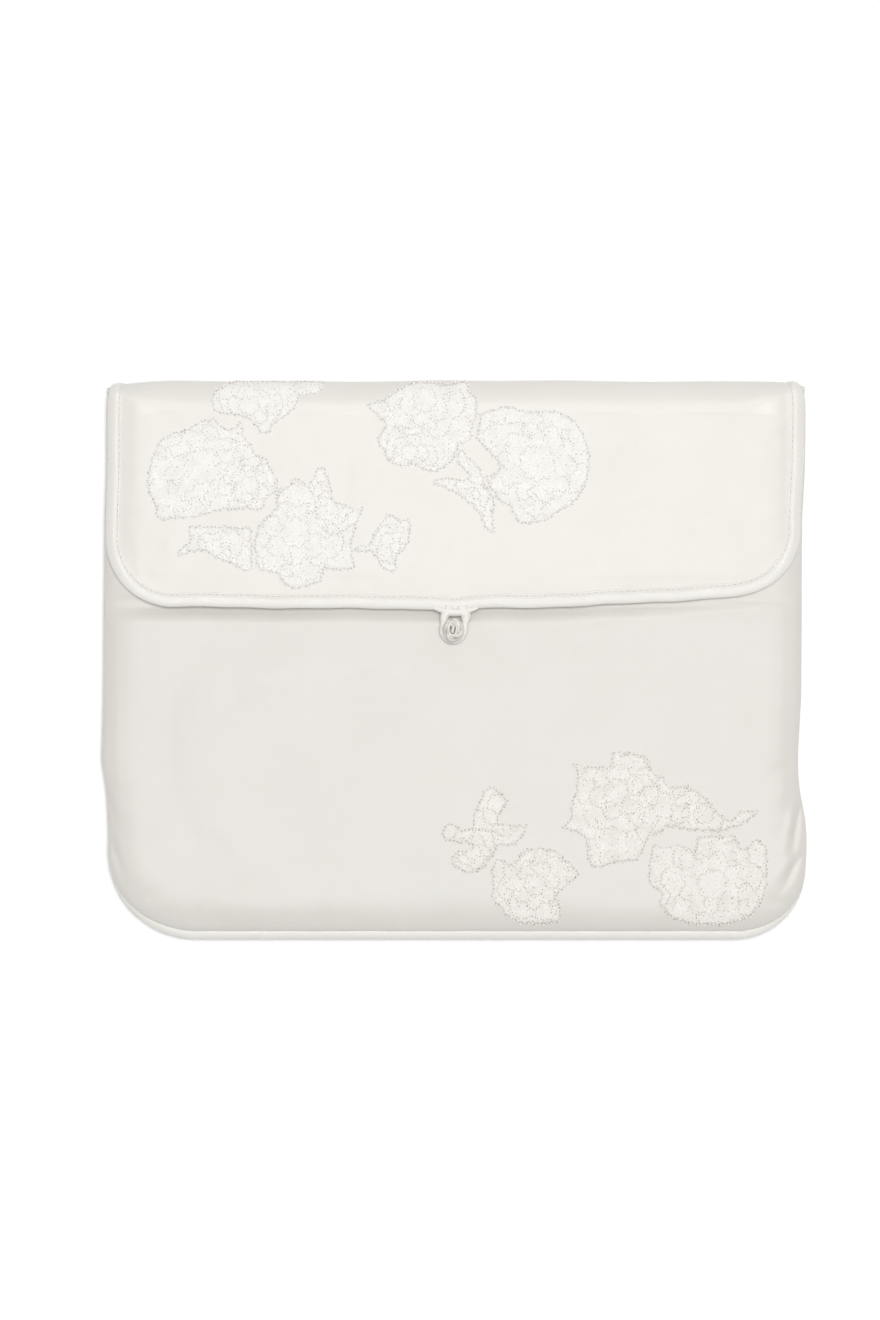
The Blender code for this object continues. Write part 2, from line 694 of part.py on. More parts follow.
# The flap
panel_layers("flap", flap_mid, 1, (FLAP_Y, FOLD_Y, FLAP_CORNER_RADIUS), flap_pivot)
add_part(
    "flap_binding",
    swept_binding("flap_binding", bound_path(FLAP_Y, FOLD_Y, FLAP_CORNER_RADIUS), flap_base,
                  FLAP_BINDING_HEIGHT),
    BINDING_SATIN,
    flap_pivot,
)
tab_half = LOOP_RADIUS + LOOP_CORD / 2 - TAB_OVERHANG
tab_height = LOOP_CORD / 2 - CLEARANCE / 2
add_part(
    "loop_tab",
    box_mesh(
        "loop_tab",
        (LOOP_X - tab_half, TAB_Y - TAB_DEPTH / 2, LOOP_Z - tab_height),
        (LOOP_X + tab_half, TAB_Y + TAB_DEPTH / 2, LOOP_Z + tab_height),
    ),
    SEWING_THREAD,
    flap_pivot,
)

# The button
cord_part("button_loop", loop_points(), LOOP_CORD, BINDING_SATIN, loop_pivot)
shank_height = KNOT_BOTTOM - CLEARANCE - SHANK_Z
add_part(
    "knot_shank",
    disc_mesh("knot_shank", (KNOT_X, KNOT_Y, SHANK_Z + shank_height / 2), SHANK_RADIUS, shank_height),
    KNOT_SATIN,
    knot_pivot,
)
add_part(
    "knot_ball",
    ball_mesh("knot_ball", (KNOT_X, KNOT_Y, KNOT_Z), (KNOT_WIDTH, KNOT_LENGTH, KNOT_HEIGHT)),
    KNOT_SATIN,
    knot_pivot,
)

# The lace
flap_skin = lace_skin("flap_lace_layer", flap_mid, FLAP_Y, FOLD_Y, FLAP_CORNER_RADIUS)
front_skin = lace_skin("front_lace_layer", front_mid, BOTTOM_Y, MOUTH_Y - PINCH, BODY_CORNER_RADIUS)
for motif, drawn_points in FLAP_LACE.items():
    add_lace(motif, graded_to_flap(drawn_points), flap_skin, flap_pivot)
for motif, drawn_points in FRONT_LACE.items():
    add_lace(motif, graded_to_front(drawn_points), front_skin)
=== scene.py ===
"""Looks of the satin envelope pouch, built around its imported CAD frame.

Lengths are worked out in millimetres and turned into metres when a mesh is made.
"""

import json
import math
import random

import bmesh
import bpy
import numpy as np
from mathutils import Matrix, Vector, geometry
from mathutils.bvhtree import BVHTree


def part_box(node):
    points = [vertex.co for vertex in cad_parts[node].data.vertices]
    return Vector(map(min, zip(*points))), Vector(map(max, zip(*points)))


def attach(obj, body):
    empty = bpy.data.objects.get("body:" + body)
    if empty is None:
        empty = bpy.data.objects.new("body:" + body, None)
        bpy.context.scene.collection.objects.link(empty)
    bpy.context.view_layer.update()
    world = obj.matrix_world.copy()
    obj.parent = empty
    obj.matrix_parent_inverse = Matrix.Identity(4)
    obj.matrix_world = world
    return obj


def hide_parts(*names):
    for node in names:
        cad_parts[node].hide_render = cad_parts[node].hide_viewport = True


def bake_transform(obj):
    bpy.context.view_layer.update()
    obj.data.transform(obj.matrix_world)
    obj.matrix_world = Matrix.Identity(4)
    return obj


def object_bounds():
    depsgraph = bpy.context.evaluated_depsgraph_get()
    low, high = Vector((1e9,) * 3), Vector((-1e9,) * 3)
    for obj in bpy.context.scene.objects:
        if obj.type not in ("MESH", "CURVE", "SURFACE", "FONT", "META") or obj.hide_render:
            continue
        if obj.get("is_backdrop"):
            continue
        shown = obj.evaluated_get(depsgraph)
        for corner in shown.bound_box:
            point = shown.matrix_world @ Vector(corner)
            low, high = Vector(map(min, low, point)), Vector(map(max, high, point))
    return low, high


MM = 0.001

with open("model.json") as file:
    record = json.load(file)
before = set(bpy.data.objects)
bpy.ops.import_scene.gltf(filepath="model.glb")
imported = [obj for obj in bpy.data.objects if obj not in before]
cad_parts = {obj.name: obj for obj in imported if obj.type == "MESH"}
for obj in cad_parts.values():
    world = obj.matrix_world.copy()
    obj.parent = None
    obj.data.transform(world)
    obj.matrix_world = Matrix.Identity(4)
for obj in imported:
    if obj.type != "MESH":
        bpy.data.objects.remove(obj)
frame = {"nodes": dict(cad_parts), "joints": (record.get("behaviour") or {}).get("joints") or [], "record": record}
CAD_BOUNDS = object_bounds()


def box_mm(node):
    low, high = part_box(node)
    return [value / MM for value in low], [value / MM for value in high]


def middle_of(low, high):
    return [(one + other) / 2 for one, other in zip(low, high)]


def joint_mm(name):
    found = [joint for joint in frame["joints"] if joint["name"] == name]
    return [value / MM for value in found[0]["pos_m"]]


# ---- places taken from the frame

(_, BOTTOM_Y, SEAM_LOW), (HALF_WIDTH, _, SEAM_HIGH) = box_mm("edge_binding")
(_, FLAP_Y, _), (_, FOLD_Y, _) = box_mm("flap_binding")
_, (_, MOUTH_Y, _) = box_mm("mouth_binding")
_, (_, _, FRONT_TOP) = box_mm("front_satin")
_, (_, _, FLAP_TOP) = box_mm("flap_satin")
BALL_LOW, BALL_HIGH = box_mm("knot_ball")
SHANK_LOW, SHANK_HIGH = box_mm("knot_shank")
FOOT_LOW, FOOT_HIGH = box_mm("knot_foot")
LOOP_LOW, LOOP_HIGH = box_mm("button_loop")
TAB_LOW, TAB_HIGH = box_mm("loop_tab")
LOOP_PIVOT = joint_mm("loop_swing")

# ---- shape of the soft goods

LEFT_CORNER = 42.0
RIGHT_CORNER = 31.0
FLAP_CORNER = 32.0
SIDE_ROLL = 18.0
BOTTOM_ROLL = 20.0
BACK_ROLL = 16.0
FOLD_REACH = 15.0
FOLD_REACH_AT_SIDES = 5.0
BINDING_WIDTH = 6.6
FLAP_BINDING_HEIGHT = 3.2
SEAM_MID = (SEAM_LOW + SEAM_HIGH) / 2
SEAM_HEIGHT = SEAM_HIGH - SEAM_LOW - 0.1
FLAP_THIN = 2.2
FLAP_FULL = 3.3
FLAP_INSET = 1.2
BINDING_PROUD = 1.1
PADDING = 2.2
LINING = 0.5
LINING_GAP = 0.25

# How far the front gives way beside the flap, more on the left, then under it, and at the mouth
FLAP_PRESS = 3.3
FLAP_PRESS_LEAN = 0.8
UNDER_FLAP_DIP = 0.9
MOUTH_THINNING = 1.1

# How far in the front and back panels start from the outer edge: at the sides and at the bottom
FRONT_INSETS = (0.2, 3.8)
BACK_INSETS = (0.3, 0.3)

# How far each side of the body stands out from straight, by distance above the bottom
LEFT_HEIGHTS = [0, 18, 27, 36, 46, 58, 68, 82, 110, 150, 192, 215, 246, 256]
LEFT_SLACK = [0, 0, -0.6, -0.8, -1.4, -1.0, -0.4, 1.9, 1.1, 0.8, 0.6, -0.2, -0.2, -0.8]
RIGHT_HEIGHTS = [0, 18, 28, 38, 46, 56, 64, 74, 84, 110, 150, 192, 215, 246, 256]
RIGHT_SLACK = [0, 0.6, 0.8, 1.5, 1.7, 1.0, -0.9, -2.2, -2.4, -0.9, -0.6, -0.4, 0.9, 1.3, 0.2]


def smooth(value, start, length):
    share = np.clip((value - start) / length, 0, 1)
    return share * share * (3 - 2 * share)


def dome(share):
    """Quarter ellipse: 0 with an upright wall at share 0, 1 and level from share 1 on."""
    return np.sqrt(np.clip(1 - (1 - np.clip(share, 0, 1)) ** 2, 0, 1))


def eased(at, places, values):
    """A table read with rounded corners: the mean of five readings side by side."""
    steps = (-4, -2, 0, 2, 4)
    return sum(np.interp(at + step, places, values) for step in steps) / len(steps)


def slack(side, y):
    height = y - BOTTOM_Y
    if side < 0:
        return eased(height, LEFT_HEIGHTS, LEFT_SLACK)
    return eased(height, RIGHT_HEIGHTS, RIGHT_SLACK)


def reach(side, y, low, radius, inset_side, inset_low):
    """Distance from the middle line out to the edge, with a round low corner, moved in by the insets."""
    up = np.clip(1 - ((radius - (y - low)) / (radius - inset_low)) ** 2, 0, 1)
    curved = HALF_WIDTH - radius + (radius - inset_side) * np.sqrt(up)
    straight = HALF_WIDTH - inset_side
    return np.where(y - low < radius, curved, straight) + slack(side, y)


def inside(x, y, low, radii, inset_side, inset_low):
    """Distance inwards from that edge."""
    side = np.where(x < 0, -1, 1)
    radius = np.where(x < 0, radii[0], radii[1])
    out = np.where(x < 0, slack(-1, y), slack(1, y))
    from_side = HALF_WIDTH + out - np.abs(x)
    from_low = y - low
    across = np.clip((radius - from_side) / (radius - inset_side), 0, None)
    down = np.clip((radius - from_low) / (radius - inset_low), 0, None)
    far = np.hypot(across, down) + 1e-9
    inset = inset_side * (across / far) ** 2 + inset_low * (down / far) ** 2
    round_distance = (1 - far) * (radius - inset)
    straight = np.minimum(from_side - inset_side, from_low - inset_low)
    return np.where((across > 0) & (down > 0), round_distance, straight)


BODY_RADII = (LEFT_CORNER, RIGHT_CORNER)
FLAP_RADII = (FLAP_CORNER, FLAP_CORNER)


def ripple(x, y, terms):
    """A sum of slanted waves: each term is height, length across, length along and phase."""
    total = 0
    for height, across, along, phase in terms:
        total = total + height * np.sin(2 * np.pi * (x / across + y / along) + phase)
    return total


def crease(x, y, start, end, width, depth):
    """A soft groove along a line that fades out towards its end."""
    run = np.array(end, float) - np.array(start, float)
    length = np.hypot(*run)
    along = ((x - start[0]) * run[0] + (y - start[1]) * run[1]) / length
    off = ((x - start[0]) * run[1] - (y - start[1]) * run[0]) / length
    share = np.clip(along / length, 0, 1)
    fade = (1 - share) ** 1.5 * smooth(along, -3, 6)
    return -depth * fade * np.exp(-((off / (width * (0.6 + 0.8 * share))) ** 2))


# Creases of the front as (start, end, width, depth), a ridge where the depth is below 0
FRONT_CREASES = [
    ((157, -46), (126, -62), 3.4, 1.0),
    ((158, -66), (153, -98), 1.5, 3.9),
    ((159, -58), (128, -70), 4.0, -0.9),
    ((154, -70), (149, -96), 1.7, -1.6),
    ((158, -90), (147, -110), 1.6, 3.5),
    ((154, -90), (143, -104), 1.8, -1.4),
    ((158, -80), (136, -78), 2.6, 1.1),
    ((148, -112), (132, -98), 2.6, 0.9),
    ((-159, -60), (-154, -80), 1.4, 3.0),
    ((-159, -66), (-134, -72), 3.0, -0.8),
    ((-157, -82), (-149, -106), 1.5, 3.0),
    ((-152, -102), (-136, -90), 2.4, -0.8),
    ((-146, -112), (-126, -96), 3.0, 0.8),
    ((-120, -122), (-112, -100), 3.6, 0.5),
    ((-62, -123), (-58, -104), 4.4, 0.4),
    ((-6, -123), (-2, -106), 4.4, 0.4),
    ((72, -123), (66, -106), 4.4, 0.4),
    ((112, -122), (108, -108), 3.6, 0.5),
    ((60, -85), (34, -87), 3.0, 0.45),
    ((6, 14), (22, -2), 4.0, 0.5),
    ((-8, 14), (-26, 0), 4.0, 0.5),
]
# Waves as (height, length across, length along, phase)
ENDLESS = 1e6
FRONT_WAVES = [(0.30, 150, 95, 0.4), (0.22, -84, 120, 2.1), (0.14, 52, 210, 4.0), (0.10, 240, -46, 1.2)]
FLAP_WAVES = [(0.26, 130, 140, 1.0), (0.20, -72, 160, 3.1), (0.12, 44, -90, 5.0)]
EDGE_WAVES = [(0.09, 9.7, 900, 0.3), (0.07, 14.3, 700, 1.9), (0.05, 6.1, 800, 4.4)]
BACK_WAVES = [(0.10, 120, 90, 0.2), (0.08, -70, 150, 2.0)]
FOLD_WAVES = [(0.25, 170, ENDLESS, 0.8), (0.15, 63, ENDLESS, 2.6)]


def seam_gathers(x, y, distance):
    """Small pulls where a seam takes up the cloth, strongest beside the stitches."""
    near = np.exp(-(((distance - 9) / 5.0) ** 2))
    return near * (ripple(x, y, EDGE_WAVES) + ripple(y, x, EDGE_WAVES))


def pocket(x, y):
    """Height that the pocket's padding reaches, before anything lies on it."""
    distance = inside(x, y, BOTTOM_Y, BODY_RADII, *FRONT_INSETS)
    roll = SIDE_ROLL + (BOTTOM_ROLL - SIDE_ROLL) * smooth(-y, -BOTTOM_Y - 40, 40)
    return SEAM_HIGH + (FRONT_TOP - SEAM_HIGH) * dome(distance / roll)


SIMULATED = {}


def relaxed(name, x, y):
    """Height that the simulated cloth adds, read from its grid."""
    if name not in SIMULATED:
        return 0
    columns, rows, lift = SIMULATED[name]
    across = np.clip((x - columns[0]) / (columns[1] - columns[0]), 0, len(columns) - 1.001)
    up = np.clip((y - rows[0]) / (rows[1] - rows[0]), 0, len(rows) - 1.001)
    column, row = across.astype(int), up.astype(int)
    a, b = across - column, up - row
    low = lift[row, column] * (1 - a) + lift[row, column + 1] * a
    high = lift[row + 1, column] * (1 - a) + lift[row + 1, column + 1] * a
    return low * (1 - b) + high * b


def front_height(x, y):
    distance = inside(x, y, BOTTOM_Y, BODY_RADII, *FRONT_INSETS)
    open_to_view = 1 - smooth(y, FLAP_Y + 1, 9)
    shape = sum(crease(x, y, *each) for each in FRONT_CREASES)
    shape = shape + ripple(x, y, FRONT_WAVES) + relaxed("front", x, y) * smooth(distance, 20, 26)
    shape = (shape + 0.8 * seam_gathers(x, y, distance + 4)) * dome(distance / 14)
    press = FLAP_PRESS - FLAP_PRESS_LEAN * x / HALF_WIDTH
    beside_flap = 1 - smooth(FLAP_Y + flap_hem(x) - y, -2, 9.5)
    shape = shape - press * beside_flap * dome(distance / 30)
    under_flap = UNDER_FLAP_DIP * (1 - open_to_view) + MOUTH_THINNING * smooth(y, MOUTH_Y - 14, 6)
    return pocket(x, y) + shape * open_to_view - under_flap


def flap_distance(x, y):
    low = FLAP_Y + flap_hem(x)
    return inside(x, y, low, FLAP_RADII, FLAP_INSET, 0)


HEM_PLACES = [-150, -60, 0, 60, 110, 150]
HEM_RISE = [1.612, 0.558, 0.186, 1.116, 3.844, 6.51]
HEM_WAVES = [(0.22, 61, ENDLESS, 0.5), (0.12, 23, ENDLESS, 2.0)]
LOOP_PULL = 1.5
LOOP_PULL_WIDTH = 7.5


def flap_hem(x):
    """The flap's lower edge: rising to the right, with a slight dip where the loop pulls on it."""
    rise = 0.55 * np.interp(x, HEM_PLACES, HEM_RISE) + 0.45 * np.interp(x + 20, HEM_PLACES, HEM_RISE)
    return rise - LOOP_PULL * np.exp(-((x / LOOP_PULL_WIDTH) ** 2)) + ripple(x, 0, HEM_WAVES)


def flap_under(x, y):
    """The underside of the flap, lying on the pocket."""
    out = np.where(x < 0, slack(-1, y), slack(1, y))
    from_side = HALF_WIDTH + out - np.abs(x)
    return SEAM_HIGH + (FRONT_TOP - SEAM_HIGH) * dome((from_side + 0.6) / SIDE_ROLL) + 0.15


def flap_height(x, y):
    distance = flap_distance(x, y)
    full = FLAP_THIN + (FLAP_FULL - FLAP_THIN) * smooth(distance, 6.4, 13)
    full = full + 0.35 * smooth(distance, 14, 40)
    shape = ripple(x, y, FLAP_WAVES) + relaxed("flap", x, y)
    shape = shape * smooth(distance, 7, 24) + 0.9 * seam_gathers(x, y, distance)
    return flap_under(x, y) + full + shape


def back_height(x, y):
    distance = inside(x, y, BOTTOM_Y, BODY_RADII, *BACK_INSETS)
    shape = (ripple(x, y, BACK_WAVES) + 0.2) / 2
    return SEAM_LOW * (1 - dome(distance / BACK_ROLL)) + shape * smooth(distance, 4, 16)


def fold_reach(x):
    from_side = HALF_WIDTH - np.abs(x)
    return FOLD_REACH_AT_SIDES + (FOLD_REACH - FOLD_REACH_AT_SIDES) * smooth(from_side, 0, 34)


def fold_edge(x):
    """How far back the fold reaches: nearly straight, nipped at its ends."""
    ends = -2.6 * np.exp(-((HALF_WIDTH - np.abs(x)) / 5.0)) - 1.3 * smooth(-x, 125, 30)
    return FOLD_Y - 0.1 + ends + ripple(x, 0, FOLD_WAVES)


def around_fold(x, turn, depth):
    """A point on the fold, turn 0 on the flap's side, pi on the back's, depth below the outer cloth."""
    start = fold_edge(x) - fold_reach(x)
    high = flap_height(x, start)
    low = back_height(x, start)
    middle = (high + low) / 2
    half = (high - low) / 2
    y = start + (fold_reach(x) - depth) * np.sin(turn)
    z = middle + (half - depth) * np.cos(turn)
    return y, z


# ---- meshes


def grid_faces(rows, columns, flip):
    index = np.arange(rows * columns).reshape(rows, columns)
    quads = np.stack([index[:-1, :-1], index[:-1, 1:], index[1:, 1:], index[1:, :-1]], -1).reshape(-1, 4)
    return quads[:, ::-1] if flip else quads


def around(sides):
    """Even turns of one full circle."""
    return np.arange(sides) * 2 * math.pi / sides


def ring_faces(rings, sides, closed=False):
    """Faces of a skin over rings of points, with its ends capped unless it is closed."""
    faces = []
    for ring in range(rings if closed else rings - 1):
        here = ring * sides
        following = (ring + 1) % rings * sides
        for side in range(sides):
            after = (side + 1) % sides
            faces.append((here + side, here + after, following + after, following + side))
    if not closed:
        faces.append(tuple(range(sides))[::-1])
        faces.append(tuple((rings - 1) * sides + side for side in range(sides)))
    return faces


def make_object(name, points, faces, material, uv=None):
    mesh = bpy.data.meshes.new(name)
    mesh.from_pydata((np.asarray(points, float) * MM).tolist(), [], [list(map(int, face)) for face in faces])
    if uv is not None:
        layer = mesh.uv_layers.new(name="cloth")
        loops = np.zeros(len(mesh.loops), np.int32)
        mesh.loops.foreach_get("vertex_index", loops)
        layer.data.foreach_set("uv", np.asarray(uv, np.float32)[loops].ravel())
    mesh.shade_smooth()
    mesh.materials.append(material)
    made = bpy.data.objects.new(name, mesh)
    bpy.context.scene.collection.objects.link(made)
    return made


def thickened(made, thickness):
    """Gives a sheet its thickness, inwards from its outer face."""
    modifier = made.modifiers.new("thickness", "SOLIDIFY")
    modifier.thickness = thickness * MM
    modifier.offset = -1
    modifier.use_even_offset = False
    apply_modifiers(made)
    return made


def apply_modifiers(made):
    graph = bpy.context.evaluated_depsgraph_get()
    mesh = bpy.data.meshes.new_from_object(made.evaluated_get(graph))
    made.modifiers.clear()
    made.data = mesh
    mesh.shade_smooth()


EDGE_STEPS = [0, 0.12, 0.4, 0.9, 1.6, 2.5, 3.6, 4.9, 6.2, 7.2, 8.3, 9.6, 11.2, 13, 15.2, 17.6, 20.2, 23]
FRONT_ROWS = 84
BACK_ROWS = 56
FLAP_ROWS = 44
FOLD_ROWS = 14


def columns_between(left, right, count=118):
    """Places along a row: close together near both ends."""
    steps = np.array(EDGE_STEPS)
    room = (right - left) / 2
    scale = np.minimum(1, room / 60)
    inner = np.linspace(0, 1, count)[1:-1]
    start = left + steps[-1] * scale
    end = right - steps[-1] * scale
    middle = start + (end - start) * inner
    return np.concatenate([left + steps * scale, middle, (right - steps * scale)[::-1]])


def corner_rows(radius, inset):
    """Heights above a low edge that follow its round corners evenly."""
    turns = np.linspace(0, math.pi / 2, 27)
    return inset + (radius - inset) * (1 - np.cos(turns))


def panel_points(rows, low, radii, insets, height, hem=None):
    points = []
    for y in rows:
        left = -reach(-1, y, low, radii[0], *insets)
        right = reach(1, y, low, radii[1], *insets)
        x = columns_between(float(left), float(right))
        place = y + (0 if hem is None else hem(x) * hem_share(y, low, rows[-1]))
        points.append(np.stack([x, np.full_like(x, place), height(x, np.full_like(x, place))], -1))
    return np.array(points)


def hem_share(y, low, top):
    """How much of the hem's rise is left at a height: all at the low edge, none at the top."""
    return (1 - (y - low) / (top - low)) ** 0.7


def panel_rows(low, radius, inset, top, count):
    return [*(low + corner_rows(radius, inset)), *np.linspace(low + radius, top, count)[1:]]


def front_points():
    rows = panel_rows(BOTTOM_Y, LEFT_CORNER, FRONT_INSETS[1], MOUTH_Y - 0.9, FRONT_ROWS)
    return panel_points(rows, BOTTOM_Y, BODY_RADII, FRONT_INSETS, front_height)


def back_points():
    rows = panel_rows(BOTTOM_Y, LEFT_CORNER, BACK_INSETS[1], FOLD_Y - FOLD_REACH - 1, BACK_ROWS)
    return with_fold(panel_points(rows, BOTTOM_Y, BODY_RADII, BACK_INSETS, back_height), math.pi)


def flap_points():
    low = FLAP_Y + 1.0
    rows = panel_rows(low, FLAP_CORNER, 0, FOLD_Y - FOLD_REACH - 1, FLAP_ROWS)
    return with_fold(panel_points(rows, low, FLAP_RADII, (FLAP_INSET + 1, 0), flap_height, flap_hem), 0)


def with_fold(points, from_turn):
    """Adds the rows that carry a panel round its half of the fold."""
    x = points[-1, :, 0]
    turns = np.linspace(from_turn, math.pi / 2, FOLD_ROWS + 1)
    added = []
    start = fold_edge(x) - fold_reach(x)
    height = flap_height if from_turn == 0 else back_height
    for share in (0.35, 0.7):
        y = points[-1, :, 1] + (start - points[-1, :, 1]) * share
        added.append(np.stack([x, y, height(x, y)], -1))
    for turn in turns:
        y, z = around_fold(x, turn, 0)
        added.append(np.stack([x, y, z], -1))
    return np.concatenate([points, np.array(added)])


def cloth_uv(points):
    """Flat cloth coordinates in millimetres: across, and the length walked along each column."""
    steps = np.linalg.norm(np.diff(points, axis=0), axis=2).mean(1)
    along = np.concatenate([[0], np.cumsum(steps)]) + points[0, :, 1].mean()
    flat = np.broadcast_to(along[:, None], points.shape[:2])
    return np.stack([points[:, :, 0], flat], -1).reshape(-1, 2)


def normals_of(points, flip):
    across = np.gradient(points, axis=1)
    up = np.gradient(points, axis=0)
    normal = np.cross(across, up)
    normal /= np.linalg.norm(normal, axis=2, keepdims=True) + 1e-12
    return -normal if flip else normal


def padded_and_lined(name, points, flip, satin):
    """The padded outer cloth of a panel and the lining behind it."""
    rows, columns = points.shape[:2]
    faces = grid_faces(rows, columns, flip)
    uv = cloth_uv(points)
    outer = make_object(f"{name}_padding", points.reshape(-1, 3), faces, satin, uv)
    behind = points - normals_of(points, flip) * (PADDING + LINING_GAP)
    inner = make_object(f"{name}_lining_cloth", behind.reshape(-1, 3), faces, LINING_MATERIAL, uv)
    return thickened(outer, PADDING), thickened(inner, LINING)


# ---- bindings


TAPE_SAMPLES = 22
GROOVE_SHARE = 0.83
GROOVE_WIDTH = 0.07
GROOVE_DEPTH = 0.34
LIP_SHARE = 0.88


def tape_section():
    """Bias binding in section: a plump outer roll, a stitched-down groove and a thin inner lip.

    Pairs of distance inwards and height as a share of the half height.
    """
    places = []
    for step in range(TAPE_SAMPLES):
        turn = 2 * math.pi * step / TAPE_SAMPLES
        share = (1 - math.cos(turn)) / 2
        rise = math.sin(turn)
        plump = abs(rise) ** 0.72
        if share > GROOVE_SHARE:
            plump = (0.62 + 0.1 * (share > LIP_SHARE)) * (0.4 + 0.6 * abs(rise) ** 0.3)
        groove = 1 - GROOVE_DEPTH * math.exp(-(((share - GROOVE_SHARE) / GROOVE_WIDTH) ** 2))
        places.append((BINDING_WIDTH * share, plump * groove * (1 if rise > 0 else -1)))
    return places


def tape(name, stations):
    """stations: callables that place (inwards, share of the half height) in space, with a length along."""
    section = tape_section()
    points = []
    uv = []
    for place, along in stations:
        swell = 1 + 0.05 * math.sin(along / 1.7) + 0.07 * math.sin(along / 3.1 + math.sin(along / 17))
        swell += 0.05 * math.sin(along / 7.7)
        for number, (inwards, share) in enumerate(section):
            wobble = 0.10 * math.sin(along / 5.3 + 0.7) * (inwards / BINDING_WIDTH)
            points.append(place(inwards * (1 + 0.02 * math.sin(along / 6.1)) + wobble, share * swell))
            uv.append((number * 0.7, along))
    faces = ring_faces(len(stations), TAPE_SAMPLES)
    made = make_object(name, points, faces, BINDING_MATERIAL, uv)
    outwards(made)
    return made


def outwards(made):
    bm = bmesh.new()
    bm.from_mesh(made.data)
    bmesh.ops.recalc_face_normals(bm, faces=bm.faces[:])
    if bm.calc_volume(signed=True) < 0:
        bmesh.ops.reverse_faces(bm, faces=bm.faces[:])
    bm.to_mesh(made.data)
    bm.free()
    made.data.shade_smooth()


def planar_station(x, y, inward, mid, half):
    def place(inwards, share):
        px = x + inward[0] * inwards
        py = y + inward[1] * inwards
        return (px, py, float(mid(np.float64(px), np.float64(py))) + share * half)

    return place


def fold_station(side, turn, half):
    edge = HALF_WIDTH - FLAP_INSET + float(slack(side, np.float64(FOLD_Y - 6)))

    def place(inwards, share):
        x = side * (edge - 0.9 * math.sin(turn) - inwards)
        y, z = around_fold(np.float64(x), turn, half * (1 - share) - BINDING_PROUD)
        return (x, float(y), float(z))

    return place


STATION_SPACING = 1.3
FOLD_STATIONS = 9
FOLD_RUN = 11.0


def rail(low, radii, inset_side, top, hem):
    """Points and inward directions down the left side, along the low edge and up the right side."""
    sides = []
    for side, radius in zip((-1, 1), radii):
        run = []
        for y in np.arange(top, low + radius, -STATION_SPACING):
            run.append((side * (float(reach(side, y, low, radius, inset_side, 0))), y))
        for turn in np.linspace(0, math.pi / 2, int(radius * 1.57 / STATION_SPACING)):
            y = low + radius - radius * math.sin(turn)
            x = HALF_WIDTH - radius + (radius - inset_side) * math.cos(turn)
            run.append((side * (x + float(slack(side, np.float64(y)))), y))
        sides.append(run)
    left, right = sides
    middle_x = np.arange(left[-1][0] + STATION_SPACING, right[-1][0] - STATION_SPACING / 2, STATION_SPACING)
    middle = [(x, low) for x in middle_x]
    path = np.array(left + middle + right[::-1])
    if hem is not None:
        path[:, 1] += hem(path[:, 0]) * hem_share(np.clip(path[:, 1], low, top), low, top)
    tangent = np.gradient(path, axis=0)
    tangent /= np.linalg.norm(tangent, axis=1, keepdims=True)
    inward = np.stack([-tangent[:, 1], tangent[:, 0]], -1)
    length = np.concatenate([[0], np.cumsum(np.linalg.norm(np.diff(path, axis=0), axis=1))])
    return path, inward, length


def flap_mid(x, y):
    return flap_under(x, y) + FLAP_BINDING_HEIGHT / 2


def flap_half(y):
    return FLAP_BINDING_HEIGHT / 2


def binding_stations(low, radii, inset_side, mid, half, last_turn, hem=None):
    """Places along a binding: round the fold, down the left, along the low edge and up again."""
    path, inward, length = rail(low, radii, inset_side, FOLD_Y - FOLD_REACH_AT_SIDES - 2.5, hem)
    flat = []
    for point, way, run in zip(path, inward, length):
        flat.append((planar_station(*point, way, mid, float(half(point[1]))), run))
    left = []
    right = []
    for number, turn in enumerate(np.linspace(math.pi / 2, last_turn, FOLD_STATIONS)):
        before = FOLD_RUN - number * 1.1
        left.append((fold_station(-1, turn, FLAP_BINDING_HEIGHT / 2), -before))
        right.append((fold_station(1, turn, FLAP_BINDING_HEIGHT / 2), length[-1] + before))
    return left + flat + right[::-1]


def edge_half(y):
    """Half the edge binding's height: it holds two panels up to the mouth, one panel after it."""
    thin = smooth(y, MOUTH_Y - 6, 10)
    return SEAM_HEIGHT / 2 * (1 - thin) + FLAP_BINDING_HEIGHT / 2 * thin


def edge_mid(x, y):
    thin = smooth(y, MOUTH_Y - 6, 10)
    return SEAM_MID * (1 - thin) + (SEAM_LOW + FLAP_BINDING_HEIGHT / 2) * thin


def mouth_mid(x, y):
    return front_height(x, np.minimum(y, MOUTH_Y - 1.0)) - 1.1


def mouth_binding_stations():
    end = HALF_WIDTH - 7
    places = np.arange(-end, end + 0.1, 1.4)
    return [(planar_station(x, MOUTH_Y, (0, -1), mouth_mid, 1.45), x + end) for x in places]


# Rings of a stitch as (place along its length, share of its radius)
STITCH_RINGS = [(-0.5, 0.35), (-0.3, 0.9), (0, 1.0), (0.3, 0.9), (0.5, 0.35)]


def capsule(centre, along, length, radius, sides=6):
    """Points and faces of a short rounded stitch."""
    along = np.array(along, float)
    along /= np.linalg.norm(along) + 1e-12
    other = np.array([0, 0, 1.0]) if abs(along[2]) < 0.8 else np.array([1.0, 0, 0])
    a = np.cross(along, other)
    a /= np.linalg.norm(a)
    b = np.cross(along, a)
    points = []
    for shift, swell in STITCH_RINGS:
        for turn in around(sides):
            outward = a * math.cos(turn) + b * math.sin(turn)
            points.append(centre + along * shift * length + outward * radius * swell)
    faces = ring_faces(len(STITCH_RINGS), sides)
    return points, [face[:1] + face[:0:-1] for face in faces]


